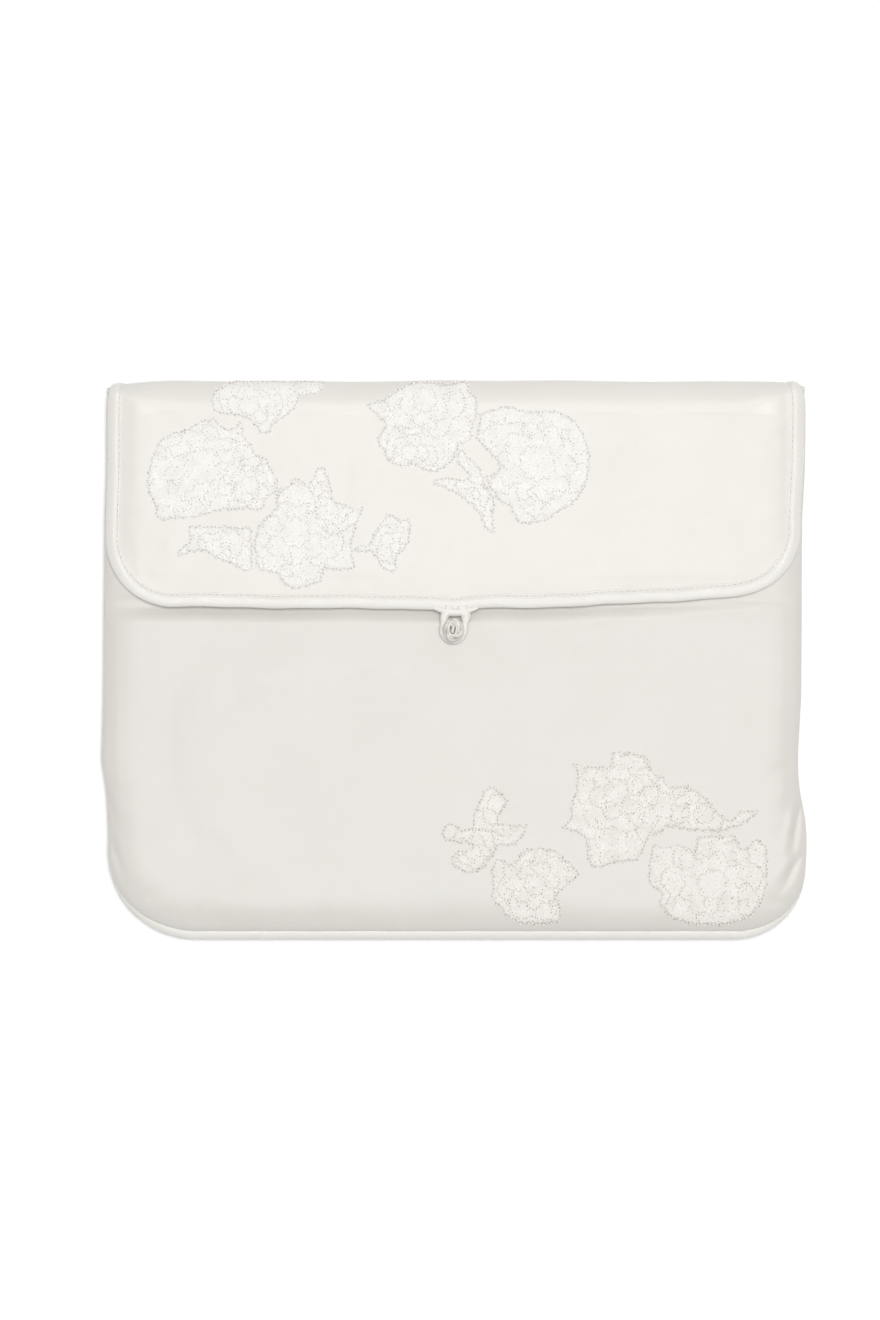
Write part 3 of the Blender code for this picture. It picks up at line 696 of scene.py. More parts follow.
def merged(name, shapes, *materials):
    """One mesh of many small shapes. A shape is points and faces, and may name which material it takes."""
    points = []
    faces = []
    kinds = []
    for shape_points, shape_faces, *kind in shapes:
        base = len(points)
        points.extend(shape_points)
        faces.extend([[base + corner for corner in face] for face in shape_faces])
        kinds.extend([kind[0] if kind else 0] * len(shape_faces))
    uv = [(point[0], point[1]) for point in points]
    made = make_object(name, points, faces, materials[0], uv)
    for material in materials[1:]:
        made.data.materials.append(material)
    made.data.polygons.foreach_set("material_index", kinds)
    return made


STITCH_PITCH = 2.9
STITCH_LENGTH = 2.0
STITCH_RADIUS = 0.28
STITCH_INWARDS = BINDING_WIDTH * 0.85
STITCH_SHARE = 0.62
# Size of the dark dots of painted shade between the topstitches
SHADE_DOT_LENGTH = 0.8
SHADE_DOT_RADIUS = 0.24


def stitch_row(name, stations, shares):
    """Topstitches laid in the groove of a tape, with a dark dot of painted shade between each two."""
    runs = np.array([run for _, run in stations])
    order = np.argsort(runs)
    shapes = []
    for share in shares:
        spots = np.array([stations[number][0](STITCH_INWARDS, share) for number in order])
        lengths = runs[order]
        for run in np.arange(lengths[0] + 1, lengths[-1] - STITCH_PITCH, STITCH_PITCH):
            spot = np.array([np.interp(run, lengths, spots[:, axis]) for axis in range(3)])
            ahead = np.array([np.interp(run + 1.5, lengths, spots[:, axis]) for axis in range(3)]) - spot
            shapes.append((*capsule(spot, ahead, STITCH_LENGTH, STITCH_RADIUS), 0))
            between = spot + ahead / 1.5 * STITCH_PITCH / 2
            shapes.append((*capsule(between, ahead, SHADE_DOT_LENGTH, SHADE_DOT_RADIUS, 5), 1))
    return merged(name, shapes, THREAD_MATERIAL, SHADE_DOT_MATERIAL)


# ---- lace


def lace_outline(node):
    """The outline of a lace node's upper face, as one ring of points."""
    mesh = frame["nodes"][node].data
    count = {}
    for face in mesh.polygons:
        if face.normal.z > 0.3:
            corners = list(face.vertices)
            for first, second in zip(corners, corners[1:] + corners[:1]):
                a = tuple(round(value / MM, 3) for value in mesh.vertices[first].co[:2])
                b = tuple(round(value / MM, 3) for value in mesh.vertices[second].co[:2])
                count[(a, b)] = count.get((a, b), 0) + 1
    edges = {a: b for (a, b) in count if (b, a) not in count}
    start = next(iter(edges))
    ring = [start]
    while edges.get(ring[-1]) not in (None, start) and len(ring) <= len(edges):
        ring.append(edges[ring[-1]])
    return np.array(ring)


def walk(points, pitch, closed=True):
    """Points a pitch apart along a line."""
    points = np.array(points, float)
    if closed:
        points = np.vstack([points, points[:1]])
    lengths = np.concatenate([[0], np.cumsum(np.linalg.norm(np.diff(points, axis=0), axis=1))])
    count = max(3, int(round(lengths[-1] / pitch)))
    at = np.linspace(0, lengths[-1], count + (0 if closed else 1), endpoint=not closed)
    return np.stack([np.interp(at, lengths, points[:, axis]) for axis in range(points.shape[1])], -1)


def within(points, ring):
    """Which points lie inside a ring."""
    x, y = points[:, 0][:, None], points[:, 1][:, None]
    x0, y0 = ring[:, 0][None], ring[:, 1][None]
    x1, y1 = np.roll(ring[:, 0], -1)[None], np.roll(ring[:, 1], -1)[None]
    spans = (y0 > y) != (y1 > y)
    rise = np.where(y1 == y0, 1e-9, y1 - y0)
    crossing = spans & (x < (x1 - x0) * (y - y0) / rise + x0)
    return crossing.sum(1) % 2 == 1


def edge_gap(points, ring):
    """Distance from each point to a ring."""
    a = ring[None]
    b = np.roll(ring, -1, 0)[None]
    p = points[:, None]
    run = b - a
    share = np.clip(((p - a) * run).sum(2) / np.maximum((run * run).sum(2), 1e-9), 0, 1)
    return np.linalg.norm(p - a - run * share[..., None], axis=2).min(1)


# For each motif: flower centres as (x, y, radius, petals), in millimetres from the motif's own middle
FLOWERS = {
    "lace_top_edge": [(-8, 0, 14, 5), (20, 3, 10, 5)],
    "lace_round_bloom": [(-4, 2, 26, 9), (17, -7, 13, 6)],
    "lace_leaves": [(0, 0, 12, 4)],
    "lace_jagged_bloom": [(-6, -2, 21, 7), (12, 10, 12, 5)],
    "lace_bud": [(2, 1, 10, 5)],
    "lace_rose": [(1, 12, 17, 6), (-6, -12, 12, 5)],
    "lace_centre_leaf": [(2, -4, 9, 4)],
    "lace_scalloped_bloom": [(2, 1, 26, 10)],
    "lace_spray": [(6, 12, 14, 5), (-5, -10, 11, 5)],
    "lace_lower_bloom": [(0, 1, 16, 7)],
    "lace_bouquet": [(-20, 8, 18, 6), (2, 2, 18, 6), (20, -2, 14, 5)],
    "lace_shell_bloom": [(2, -2, 22, 9)],
}


class Cloth:
    """A finished surface that lace and stitches are laid on, seen from above."""

    def __init__(self, made):
        points = [vertex.co / MM for vertex in made.data.vertices]
        self.tree = BVHTree.FromPolygons(points, [list(face.vertices) for face in made.data.polygons])

    def lay(self, x, y, lift):
        y = min(y, float(fold_edge(np.float64(x))) - 0.3)
        spot, normal, _, _ = self.tree.ray_cast(Vector((x, y, 100)), Vector((0, 0, -1)))
        if spot is None:
            return None
        if normal.z < 0:
            normal = -normal
        return np.array(spot + normal * lift)


# The dark dots between beads are painted shade: their height over the cloth and how often they come
BEAD_HEIGHT = 0.30
SHADE_DOT_HEIGHT = 0.16
BEAD_SHADE_DOTS = 0.85


def bead_line(cloth, points, pitch, rng, size, ring=None, lift=0.0):
    """Stitches along a line that swing from side to side, with a dark dot of painted shade between each two."""
    shapes = []
    spots = walk(points, pitch, closed=ring is None)
    if ring is not None:
        spots = spots[within(spots, ring)]
    if len(spots) < 3:
        return shapes
    ways = np.gradient(spots, axis=0)
    for number, (spot, way) in enumerate(zip(spots, ways)):
        way = way / (np.linalg.norm(way) + 1e-9)
        side = np.array([-way[1], way[0]]) * (1 if number % 2 else -1)
        at = spot + side * size * rng.uniform(0.7, 1.3)
        placed = cloth.lay(*at, BEAD_HEIGHT + lift)
        shade_dot = cloth.lay(*(spot + way * pitch / 2 - side * size * 0.6), SHADE_DOT_HEIGHT + lift)
        if placed is None or shade_dot is None:
            continue
        along = np.array([way[0] + side[0] * 0.9, way[1] + side[1] * 0.9, 0])
        shapes.append((*capsule(placed, along, size * 3.4, size * rng.uniform(0.8, 1.15), 5), 0))
        if rng.random() < BEAD_SHADE_DOTS:
            pinch = size * rng.uniform(0.55, 0.95)
            shapes.append((*capsule(shade_dot, (*way, 0.3), size * 1.7, pinch, 4), 1))
    return shapes


STIPPLE_PITCH = 1.35
STIPPLE_JITTER = 0.6
# Share of the fill's stitches that are dark dots of painted shade
STIPPLE_SHADE_DOTS = 0.07


def scattered(ring, pitch, jitter, rng):
    """Spots inside a ring, on a grid that is shaken a little."""
    low, high = ring.min(0), ring.max(0)
    gx, gy = np.meshgrid(np.arange(low[0], high[0], pitch), np.arange(low[1], high[1], pitch))
    spots = np.stack([gx.ravel(), gy.ravel()], -1) + shaken(gx.size, jitter, rng)
    return spots[within(spots, ring)]


def shaken(count, jitter, rng):
    return np.array([[rng.uniform(-jitter, jitter), rng.uniform(-jitter, jitter)] for _ in range(count)])


def stipple(cloth, ring, flowers, rng):
    """Short fine stitches that fill a motif, roughly along its petals, with a few dark dots of painted shade."""
    shapes = []
    for x, y in scattered(ring, STIPPLE_PITCH, STIPPLE_JITTER, rng):
        cx, cy = min((centre for centre, _, _ in flowers), key=lambda c: math.hypot(x - c[0], y - c[1]))
        turn = math.atan2(y - cy, x - cx) + rng.uniform(-1.2, 1.2)
        placed = cloth.lay(x, y, 0.34 + rng.uniform(-0.04, 0.06))
        if placed is None:
            continue
        way = (math.cos(turn), math.sin(turn), rng.uniform(-0.1, 0.1))
        if rng.random() < STIPPLE_SHADE_DOTS:
            shapes.append((*capsule(placed, way, 0.8, 0.2, 4), 1))
        else:
            shapes.append((*capsule(placed, way, rng.uniform(1.0, 2.0), rng.uniform(0.13, 0.2), 4), 0))
    return shapes


def tube(path, radius, sides, closed, flat):
    """Rings of points and faces of a tube along a path. flat below 1 presses it down."""
    if closed:
        way = np.roll(path, -1, 0) - np.roll(path, 1, 0)
    else:
        way = np.gradient(path, axis=0)
    way /= np.linalg.norm(way, axis=1, keepdims=True) + 1e-9
    up = np.array([0, 0, 1.0])
    a = np.cross(way, up)
    a /= np.linalg.norm(a, axis=1, keepdims=True) + 1e-9
    b = np.cross(a, way)
    turns = around(sides)[None, :, None]
    wide = np.broadcast_to(radius, len(path))[:, None, None]
    points = path[:, None] + (a[:, None] * np.cos(turns) + b[:, None] * np.sin(turns) * flat) * wide
    return points, ring_faces(len(path), sides, closed)


def petals_of(centre, radius, petals, phase, rng):
    """The drawn lines of one flower: petal edges, their veins and a ruffled middle."""
    cx, cy = centre
    lines = []
    turns = np.linspace(0, 2 * math.pi, 90)
    for share, depth in ((0.98, 0.10), (0.62, 0.14), (0.30, 0.10)):
        ruffle = np.abs(np.cos(petals / 2 * (turns + phase * share * 3)))
        r = radius * share * (1 - depth + depth * ruffle * 2)
        lines.append(np.stack([cx + r * np.cos(turns), cy + r * np.sin(turns)], -1))
    for number in range(petals):
        turn = 2 * math.pi * (number + 0.5 + rng.uniform(-0.2, 0.2)) / petals + phase
        r = np.linspace(radius * rng.uniform(0.3, 0.5), radius * rng.uniform(0.75, 1.0), 14)
        bend = rng.uniform(-0.9, 0.9) * (r / radius - 0.3) ** 2 + 0.12 * np.sin(r * 0.8 + number)
        lines.append(np.stack([cx + r * np.cos(turn + bend), cy + r * np.sin(turn + bend)], -1))
    return lines


OUTLINE_PITCH = 0.9
SCALLOP_PITCH = 5.2
NET_PITCH = 1.3
NET_JITTER = 0.3
NET_SUNK = -0.25
INNER_PITCH = 1.5
INNER_SIZE = 0.30
INNER_LIFT = 0.24
OUTLINE_BEADS = 1.8
OUTLINE_SIZE = 0.33


def lace_motif(node, cloth, rng, materials):
    """One applique: netting, its drawn petals, its thread fill and its beaded outline."""
    ring = walk(lace_outline(node), OUTLINE_PITCH)
    for _ in range(3):
        ring = (np.roll(ring, 1, 0) + ring * 2 + np.roll(ring, -1, 0)) / 4
    way = np.roll(ring, -1, 0) - np.roll(ring, 1, 0)
    way /= np.linalg.norm(way, axis=1, keepdims=True) + 1e-9
    count = max(1, round(len(ring) * OUTLINE_PITCH / SCALLOP_PITCH))
    scallop = 0.55 * np.abs(np.sin(np.arange(len(ring)) / len(ring) * math.pi * count)) - 0.25
    wobbly = ring + np.stack([way[:, 1], -way[:, 0]], -1) * scallop[:, None]
    wobbly = wobbly + shaken(len(ring), 0.15, rng)
    middle = (wobbly.min(0) + wobbly.max(0)) / 2
    spots = scattered(wobbly, NET_PITCH, NET_JITTER, rng)
    spots = spots[edge_gap(spots, wobbly) > 0.7]
    vertices = [Vector(point) for point in np.vstack([wobbly, spots])]
    border = list(range(len(wobbly)))
    edges = list(zip(border, border[1:] + border[:1]))
    flat, _, faces, _, _, _ = geometry.delaunay_2d_cdt(vertices, edges, [border], 1, 1e-5)
    flat = np.array([tuple(point) for point in flat])
    flowers = [((middle[0] + x, middle[1] + y), r, n) for x, y, r, n in FLOWERS[node]]
    gap = edge_gap(flat, wobbly)
    relief = 0.05 + 0.20 * smooth(gap, 0, 1.6)
    for number, ((cx, cy), radius, petals) in enumerate(flowers):
        away = np.hypot(flat[:, 0] - cx, flat[:, 1] - cy) / radius
        turn = np.arctan2(flat[:, 1] - cy, flat[:, 0] - cx)
        puff = np.abs(np.sin(petals / 2 * (turn + number))) * np.clip(1.1 - away, 0, 1)
        puff = puff * np.clip(away * 2.2, 0, 1)
        relief = relief + 0.14 * puff + 0.15 * np.exp(-((away / 0.16) ** 2))
    top = []
    base = []
    for (x, y), height in zip(flat, relief):
        spot = cloth.lay(x, y, float(height))
        if spot is None:
            spot = np.array([x, y, FLAP_TOP])
        top.append(spot)
        under = cloth.lay(x, y, NET_SUNK)
        base.append(spot - np.array([0, 0, 0.3]) if under is None else under)
    count = len(flat)
    shapes = [(top + base, net_faces(faces, count), 2)]
    for number, (centre, radius, petals) in enumerate(flowers):
        for line in petals_of(centre, radius, petals, number + 0.4, rng):
            shapes += bead_line(cloth, line, INNER_PITCH, rng, INNER_SIZE, wobbly, INNER_LIFT)
    shapes += stipple(cloth, wobbly, flowers, rng)
    shapes += bead_line(cloth, wobbly, OUTLINE_BEADS, rng, OUTLINE_SIZE)
    return merged(f"{node}_thread", shapes, *materials)


def net_faces(faces, count):
    """Faces of the netting: its top, its underside and the walls round its border."""
    made = [list(face) for face in faces]
    made += [[count + corner for corner in face][::-1] for face in faces]
    used = {}
    for face in faces:
        used.update(dict.fromkeys(zip(face, [*face[1:], face[0]])))
    for first, second in used:
        if (second, first) not in used:
            made.append([second, first, count + first, count + second])
    return made


# ---- cloth simulation


SIM_FRAMES = 20
SIM_PRESSURE = 1.2
SIM_GROWTH = 0.005
CLOTH_SETTINGS = {
    "quality": 6,
    "mass": 0.12,
    "tension_stiffness": 12,
    "compression_stiffness": 12,
    "shear_stiffness": 6,
    "bending_stiffness": 0.08,
    "air_damping": 4,
    "use_pressure": True,
    "vertex_group_mass": "seams",
}


def simulate(name, columns, rows, height, pinned, cap):
    """Relaxes a stretch of padded cloth held at its seams, and keeps how far each spot rises or sinks."""
    gx, gy = np.meshgrid(columns, rows)
    z = height(gx, gy)
    points = np.stack([gx, gy, z], -1).reshape(-1, 3)
    made = make_object(f"sim_{name}", points, grid_faces(len(rows), len(columns), False), SATIN_MATERIAL)
    group = made.vertex_groups.new(name="seams")
    weights = pinned(gx, gy).ravel()
    for index, weight in enumerate(weights):
        if weight > 0.001:
            group.add([index], float(weight), "REPLACE")
    modifier = made.modifiers.new("cloth", "CLOTH")
    settings = modifier.settings
    for setting, value in CLOTH_SETTINGS.items():
        setattr(settings, setting, value)
    settings.uniform_pressure_force = SIM_PRESSURE
    settings.shrink_min = -SIM_GROWTH
    settings.effector_weights.gravity = 0
    modifier.collision_settings.use_collision = False
    modifier.point_cache.frame_start = 1
    modifier.point_cache.frame_end = SIM_FRAMES
    scene = bpy.context.scene
    for number in range(1, SIM_FRAMES + 1):
        scene.frame_set(number)
    graph = bpy.context.evaluated_depsgraph_get()
    done = made.evaluated_get(graph).data
    moved = np.array([vertex.co for vertex in done.vertices]) / MM
    lift = (moved[:, 2] - points[:, 2]).reshape(z.shape)
    bpy.data.objects.remove(made)
    scene.frame_set(1)
    SIMULATED[name] = (columns, rows, np.clip(lift - np.median(lift), -cap, cap))


# ---- materials


def node(tree, kind, **inputs):
    made = tree.nodes.new(kind)
    for name, value in inputs.items():
        made.inputs[name.replace("_", " ")].default_value = value
    return made


GLOSS_SPREAD = 0.03
SHEEN_ROUGHNESS = 0.4
WEAVE_BUMP = 0.00006
SLUB_BUMP = 0.00012


def textile(name, dark, light, roughness, weave, bump, sheen=0.2, shine=0.5, slub=(0.05, 1.6), patch=0.035):
    """A woven cloth: warp and weft, slubs along the yarn, slow changes of colour and of gloss."""
    made = bpy.data.materials.new(name)
    made.use_nodes = True
    tree = made.node_tree
    shader = tree.nodes["Principled BSDF"]
    link = tree.links.new
    uv = node(tree, "ShaderNodeUVMap")
    uv.uv_map = "cloth"
    broad = node(tree, "ShaderNodeTexNoise", Scale=patch, Detail=3.0, Roughness=0.55)
    link(uv.outputs["UV"], broad.inputs["Vector"])
    tint = node(tree, "ShaderNodeMix")
    tint.data_type = "RGBA"
    tint.inputs[6].default_value = (*dark, 1)
    tint.inputs[7].default_value = (*light, 1)
    link(broad.outputs["Fac"], tint.inputs[0])
    link(tint.outputs[2], shader.inputs["Base Color"])
    gloss_range = {"To_Min": roughness - GLOSS_SPREAD, "To_Max": roughness + GLOSS_SPREAD}
    gloss = node(tree, "ShaderNodeMapRange", From_Min=0.3, From_Max=0.7, **gloss_range)
    link(broad.outputs["Fac"], gloss.inputs["Value"])
    link(gloss.outputs["Result"], shader.inputs["Roughness"])
    warp = node(tree, "ShaderNodeTexWave", Scale=weave, Distortion=1.2, Detail=1.0)
    warp.bands_direction = "X"
    weft = node(tree, "ShaderNodeTexWave", Scale=weave * 1.6, Distortion=1.2)
    weft.bands_direction = "Y"
    woven = node(tree, "ShaderNodeMath")
    woven.operation = "ADD"
    for number, yarns in enumerate((warp, weft)):
        link(uv.outputs["UV"], yarns.inputs["Vector"])
        link(yarns.outputs["Fac"], woven.inputs[number])
    stretch = node(tree, "ShaderNodeMapping", Scale=(*slub, 1))
    link(uv.outputs["UV"], stretch.inputs["Vector"])
    slubs = node(tree, "ShaderNodeTexNoise", Scale=1.0, Detail=4.0, Roughness=0.6)
    link(stretch.outputs["Vector"], slubs.inputs["Vector"])
    fine = node(tree, "ShaderNodeBump", Strength=bump, Distance=WEAVE_BUMP)
    link(woven.outputs["Value"], fine.inputs["Height"])
    coarse = node(tree, "ShaderNodeBump", Strength=bump, Distance=SLUB_BUMP)
    link(slubs.outputs["Fac"], coarse.inputs["Height"])
    link(fine.outputs["Normal"], coarse.inputs["Normal"])
    link(coarse.outputs["Normal"], shader.inputs["Normal"])
    shader.inputs["Sheen Weight"].default_value = sheen
    shader.inputs["Sheen Roughness"].default_value = SHEEN_ROUGHNESS
    shader.inputs["Specular IOR Level"].default_value = shine
    return made


SATIN_LOOK = {"roughness": 0.33, "weave": 1.3, "bump": 0.25}
STITCH_LOOK = {"roughness": 0.72, "bump": 0.4, "sheen": 0.3}
# Look of the dark dots of painted shade between stitches
SHADE_DOT_LOOK = {"roughness": 0.8, "bump": 0.3, "sheen": 0.1, "shine": 0.1}
# The netting's broad darker patches are painted shade, put at random for the hollows between its petals.
NET_LOOK = {"roughness": 0.7, "bump": 0.35, "patch": 0.16}


def lace_textile(name, dark, light, shine=0.2, **look):
    return textile(name, dark, light, weave=1.1, slub=(0.9, 0.9), shine=shine, **look)


SATIN_MATERIAL = textile("ivory_satin", (0.730, 0.705, 0.656), (0.780, 0.758, 0.713), **SATIN_LOOK)
# The front's satin is a darker copy of the same satin: painted shade, as if its sheen were turned from the light.
FRONT_SATIN_SHADED_MATERIAL = textile(
    "front_satin_painted_shade", (0.665, 0.640, 0.597), (0.708, 0.687, 0.646), **SATIN_LOOK
)
BINDING_MATERIAL = textile(
    "binding_satin", (0.765, 0.742, 0.692), (0.815, 0.796, 0.752), 0.27, 1.6, 0.3, sheen=0.25, shine=0.7
)
LINING_MATERIAL = textile(
    "ivory_lining", (0.77, 0.745, 0.70), (0.81, 0.79, 0.745), 0.55, 1.0, 0.5, sheen=0.1, shine=0.3
)
LACE_MATERIAL = lace_textile("white_lace", (0.93, 0.915, 0.885), (0.96, 0.95, 0.925), **STITCH_LOOK)
LACE_FRONT_MATERIAL = lace_textile("ivory_lace", (0.86, 0.835, 0.795), (0.93, 0.912, 0.875), **STITCH_LOOK)
# Dark dots between stitches and beads: painted shade, a pinkish one on the front.
SHADE_DOT_MATERIAL = lace_textile("lace_painted_shade_dots", (0.56, 0.53, 0.48), (0.72, 0.69, 0.63), **SHADE_DOT_LOOK)
FRONT_SHADE_DOT_MATERIAL = lace_textile("front_lace_painted_shade_dots", (0.50, 0.42, 0.36), (0.66, 0.58, 0.52), **SHADE_DOT_LOOK)
# Netting colours run from painted shade in the dark patches to the lace's own white.
LACE_NET_MATERIAL = lace_textile("lace_net", (0.765, 0.738, 0.69), (0.95, 0.937, 0.905), **NET_LOOK)
FRONT_NET_MATERIAL = lace_textile("ivory_lace_net", (0.69, 0.653, 0.605), (0.93, 0.910, 0.875), **NET_LOOK)
KNOT_SHADOW_MATERIAL = textile(
    "knot_shadow", (0.17, 0.15, 0.12), (0.25, 0.23, 0.19), 0.6, 1.8, 0.3, sheen=0.1, shine=0.2
)
# The knot's satin is mottled from grey to white: painted shade and painted highlights for the shine of its
# crumpled strands.
KNOT_PAINTED_SHEEN_MATERIAL = textile(
    "knot_satin", (0.50, 0.47, 0.41), (1.0, 0.99, 0.95), 0.22, 1.8, 0.4, shine=0.8, patch=0.35
)
THREAD_MATERIAL = textile(
    "sewing_thread", (0.84, 0.81, 0.76), (0.90, 0.88, 0.84), 0.5, 2.5, 0.5, sheen=0.1, shine=0.4
)


# ---- build

RANDOM = random.Random(7)

SIM_COLUMNS = np.linspace(-150, 150, 61)


def front_pinned(x, y):
    """1 where a seam or the flap holds the front, 0 where it moves freely."""
    distance = inside(x, y, BOTTOM_Y, BODY_RADII, *FRONT_INSETS)
    return 1 - smooth(np.minimum(distance, FLAP_Y + 8 - y), 0, 9)


def flap_pinned(x, y):
    return 1 - smooth(flap_distance(x, y), 6, 9) * smooth(FOLD_Y - FOLD_REACH - y, 0, 8)


simulate("front", SIM_COLUMNS, np.linspace(BOTTOM_Y + 10, FLAP_Y + 8, 29), pocket, front_pinned, 0.45)
flap_span = np.linspace(FLAP_Y + 4, FOLD_Y - FOLD_REACH, 17)
simulate("flap", SIM_COLUMNS, flap_span, flap_height, flap_pinned, 0.4)

# The pocket's front
front_padding, front_lining = padded_and_lined("front", front_points(), False, FRONT_SATIN_SHADED_MATERIAL)
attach(front_padding, "pouch")
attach(front_lining, "pouch")
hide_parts("front_satin", "front_wadding")
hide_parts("front_lining")

# The back, carried up round the lower half of the fold
back_padding, back_lining = padded_and_lined("back", back_points(), True, SATIN_MATERIAL)
FOLD_MIDDLE = float(around_fold(np.float64(0), math.pi / 2, 0)[1])
for piece in (back_padding, back_lining):
    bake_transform(piece)
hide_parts("back_satin", "back_wadding", "fold_satin", "fold_wadding")
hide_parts("back_lining", "fold_lining")

# The flap, carried back round the upper half of the fold
flap_padding, flap_lining = padded_and_lined("flap", flap_points(), False, SATIN_MATERIAL)
for piece in (flap_padding, flap_lining):
    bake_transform(piece)
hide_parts("flap_satin", "flap_wadding")
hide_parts("flap_lining")

# Bindings and their topstitching
flap_stations = binding_stations(FLAP_Y, FLAP_RADII, FLAP_INSET, flap_mid, flap_half, 0.12, flap_hem)
flap_tape = tape("flap_binding_tape", flap_stations)
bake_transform(flap_tape)
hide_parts("flap_binding", "fold_binding_left", "fold_binding_right")
flap_stitches = stitch_row("flap_topstitching", flap_stations, (STITCH_SHARE, -STITCH_SHARE))
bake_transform(flap_stitches)

edge_stations = binding_stations(BOTTOM_Y, BODY_RADII, 0, edge_mid, edge_half, math.pi - 0.12)
edge_tape = tape("edge_binding_tape", edge_stations)
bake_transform(edge_tape)
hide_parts("edge_binding")
edge_stitches = stitch_row("edge_topstitching", edge_stations, (-STITCH_SHARE,))
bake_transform(edge_stitches)

mouth_stations = mouth_binding_stations()
mouth_tape = tape("mouth_binding_tape", mouth_stations)
mouth_stitches = stitch_row("mouth_topstitching", mouth_stations, (STITCH_SHARE,))
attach(mouth_tape, "pouch")
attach(mouth_stitches, "pouch")
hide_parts("mouth_binding")

# Lace
flap_cloth = Cloth(flap_padding)
front_cloth = Cloth(front_padding)
FLAP_LACE_MATERIALS = (LACE_MATERIAL, SHADE_DOT_MATERIAL, LACE_NET_MATERIAL)
FRONT_LACE_MATERIALS = (LACE_FRONT_MATERIAL, FRONT_SHADE_DOT_MATERIAL, FRONT_NET_MATERIAL)
FLAP_MOTIFS = [name for name in FLOWERS if name in frame["record"]["behaviour"]["bodies"]["flap"]]
for motif in FLOWERS:
    on_flap = motif in FLAP_MOTIFS
    materials = FLAP_LACE_MATERIALS if on_flap else FRONT_LACE_MATERIALS
    lace = lace_motif(motif, flap_cloth if on_flap else front_cloth, RANDOM, materials)
    if on_flap:
        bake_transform(lace)
    else:
        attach(lace, "pouch")
    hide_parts(motif)


def woven_path(centre, radii, leads, bights, top_turn, over):
    """One closed strand that winds round a ball, passing over and under itself."""
    count = leads * 60
    turn = np.arange(count) / count * 2 * math.pi * leads
    tilt = top_turn * np.cos(bights * turn / leads)
    rise = 1 + over * np.sin(2 * bights * turn / leads)
    flat = np.cos(tilt) * rise
    return np.stack([
        centre[0] + radii[0] * flat * np.cos(turn + 0.4),
        centre[1] + radii[1] * flat * np.sin(turn + 0.4),
        centre[2] + radii[2] * np.sin(tilt) * rise,
    ], -1)


def rouleau(path, radius, sides, closed, flat=1.0, pulls=0.035):
    """A bias tube with diagonal pulls along it."""
    points, faces = tube(path, radius, sides, closed, flat)
    middle = points.mean(1, keepdims=True)
    along = np.arange(len(path))[:, None] * 0.55 + np.arange(sides)[None] * 0.9
    swell = 1 + pulls * np.sin(along) + 0.7 * pulls * np.sin(along * 0.37 + 2)
    return list((middle + (points - middle) * swell[..., None]).reshape(-1, 3)), faces


def stacked(levels, sides):
    """Points and faces of a round body from levels of (x, y, z, radius across, radius along)."""
    points = []
    for x, y, z, across, along in levels:
        for turn in around(sides):
            points.append(np.array([x + across * math.cos(turn), y + along * math.sin(turn), z]))
    return points, ring_faces(len(levels), sides)


def ellipsoid(centre, radii):
    levels = []
    for tilt in np.linspace(-math.pi / 2 + 0.05, math.pi / 2 - 0.05, 14):
        across, along = radii[0] * math.cos(tilt), radii[1] * math.cos(tilt)
        levels.append((*centre[:2], centre[2] + radii[2] * math.sin(tilt), across, along))
    return stacked(levels, 24)


# The knot: a rouleau woven round itself, on a neck held by crossed stitches
BALL_MIDDLE = middle_of(BALL_LOW, BALL_HIGH)
BALL_HALF = [(high - low) / 2 for low, high in zip(BALL_LOW, BALL_HIGH)]
STRAND = 1.05
WEAVE_OVER = 0.15
STRAND_SIDES = 12
KNOT_PULLS = 0.08
TOP_RING_STRAND = 0.62
SHANK_LEVELS = 12
SHANK_SIDES = 14
SHANK_WAIST = 0.18
weave_radii = [(half - STRAND) / (1 + WEAVE_OVER) for half in BALL_HALF]
weave = woven_path(BALL_MIDDLE, weave_radii, leads=3, bights=4, top_turn=0.92, over=WEAVE_OVER)
shapes = [rouleau(weave, STRAND, STRAND_SIDES, True, pulls=KNOT_PULLS)]
ring_turns = around(40)
top_ring = np.stack([
    BALL_MIDDLE[0] - 0.4 + 1.9 * np.cos(ring_turns),
    BALL_MIDDLE[1] + 0.6 + 3.0 * np.sin(ring_turns),
    BALL_HIGH[2] - 0.9 - 0.6 * np.sin(ring_turns) ** 2,
], -1)
shapes.append(rouleau(top_ring, TOP_RING_STRAND, STRAND_SIDES, True, pulls=KNOT_PULLS))
half_turns = ring_turns[:21]
centre_strand = np.stack([
    BALL_MIDDLE[0] - 0.2 + 0.35 * np.cos(half_turns),
    BALL_MIDDLE[1] + 0.6 + 1.9 * np.cos(half_turns),
    BALL_HIGH[2] - 1.1 - 0.5 * np.cos(half_turns) ** 2,
], -1)
strand_radius = 0.8 * np.sin(np.linspace(0.5, 2.64, len(half_turns)))
shapes.append(rouleau(centre_strand, strand_radius, STRAND_SIDES, False, pulls=0.1))
shapes.append((*ellipsoid(BALL_MIDDLE, [half - 2 * STRAND for half in BALL_HALF]), 1))
knot = merged("knot_weave", shapes, KNOT_PAINTED_SHEEN_MATERIAL, KNOT_SHADOW_MATERIAL)
outwards(knot)
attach(knot, "knot")
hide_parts("knot_ball")

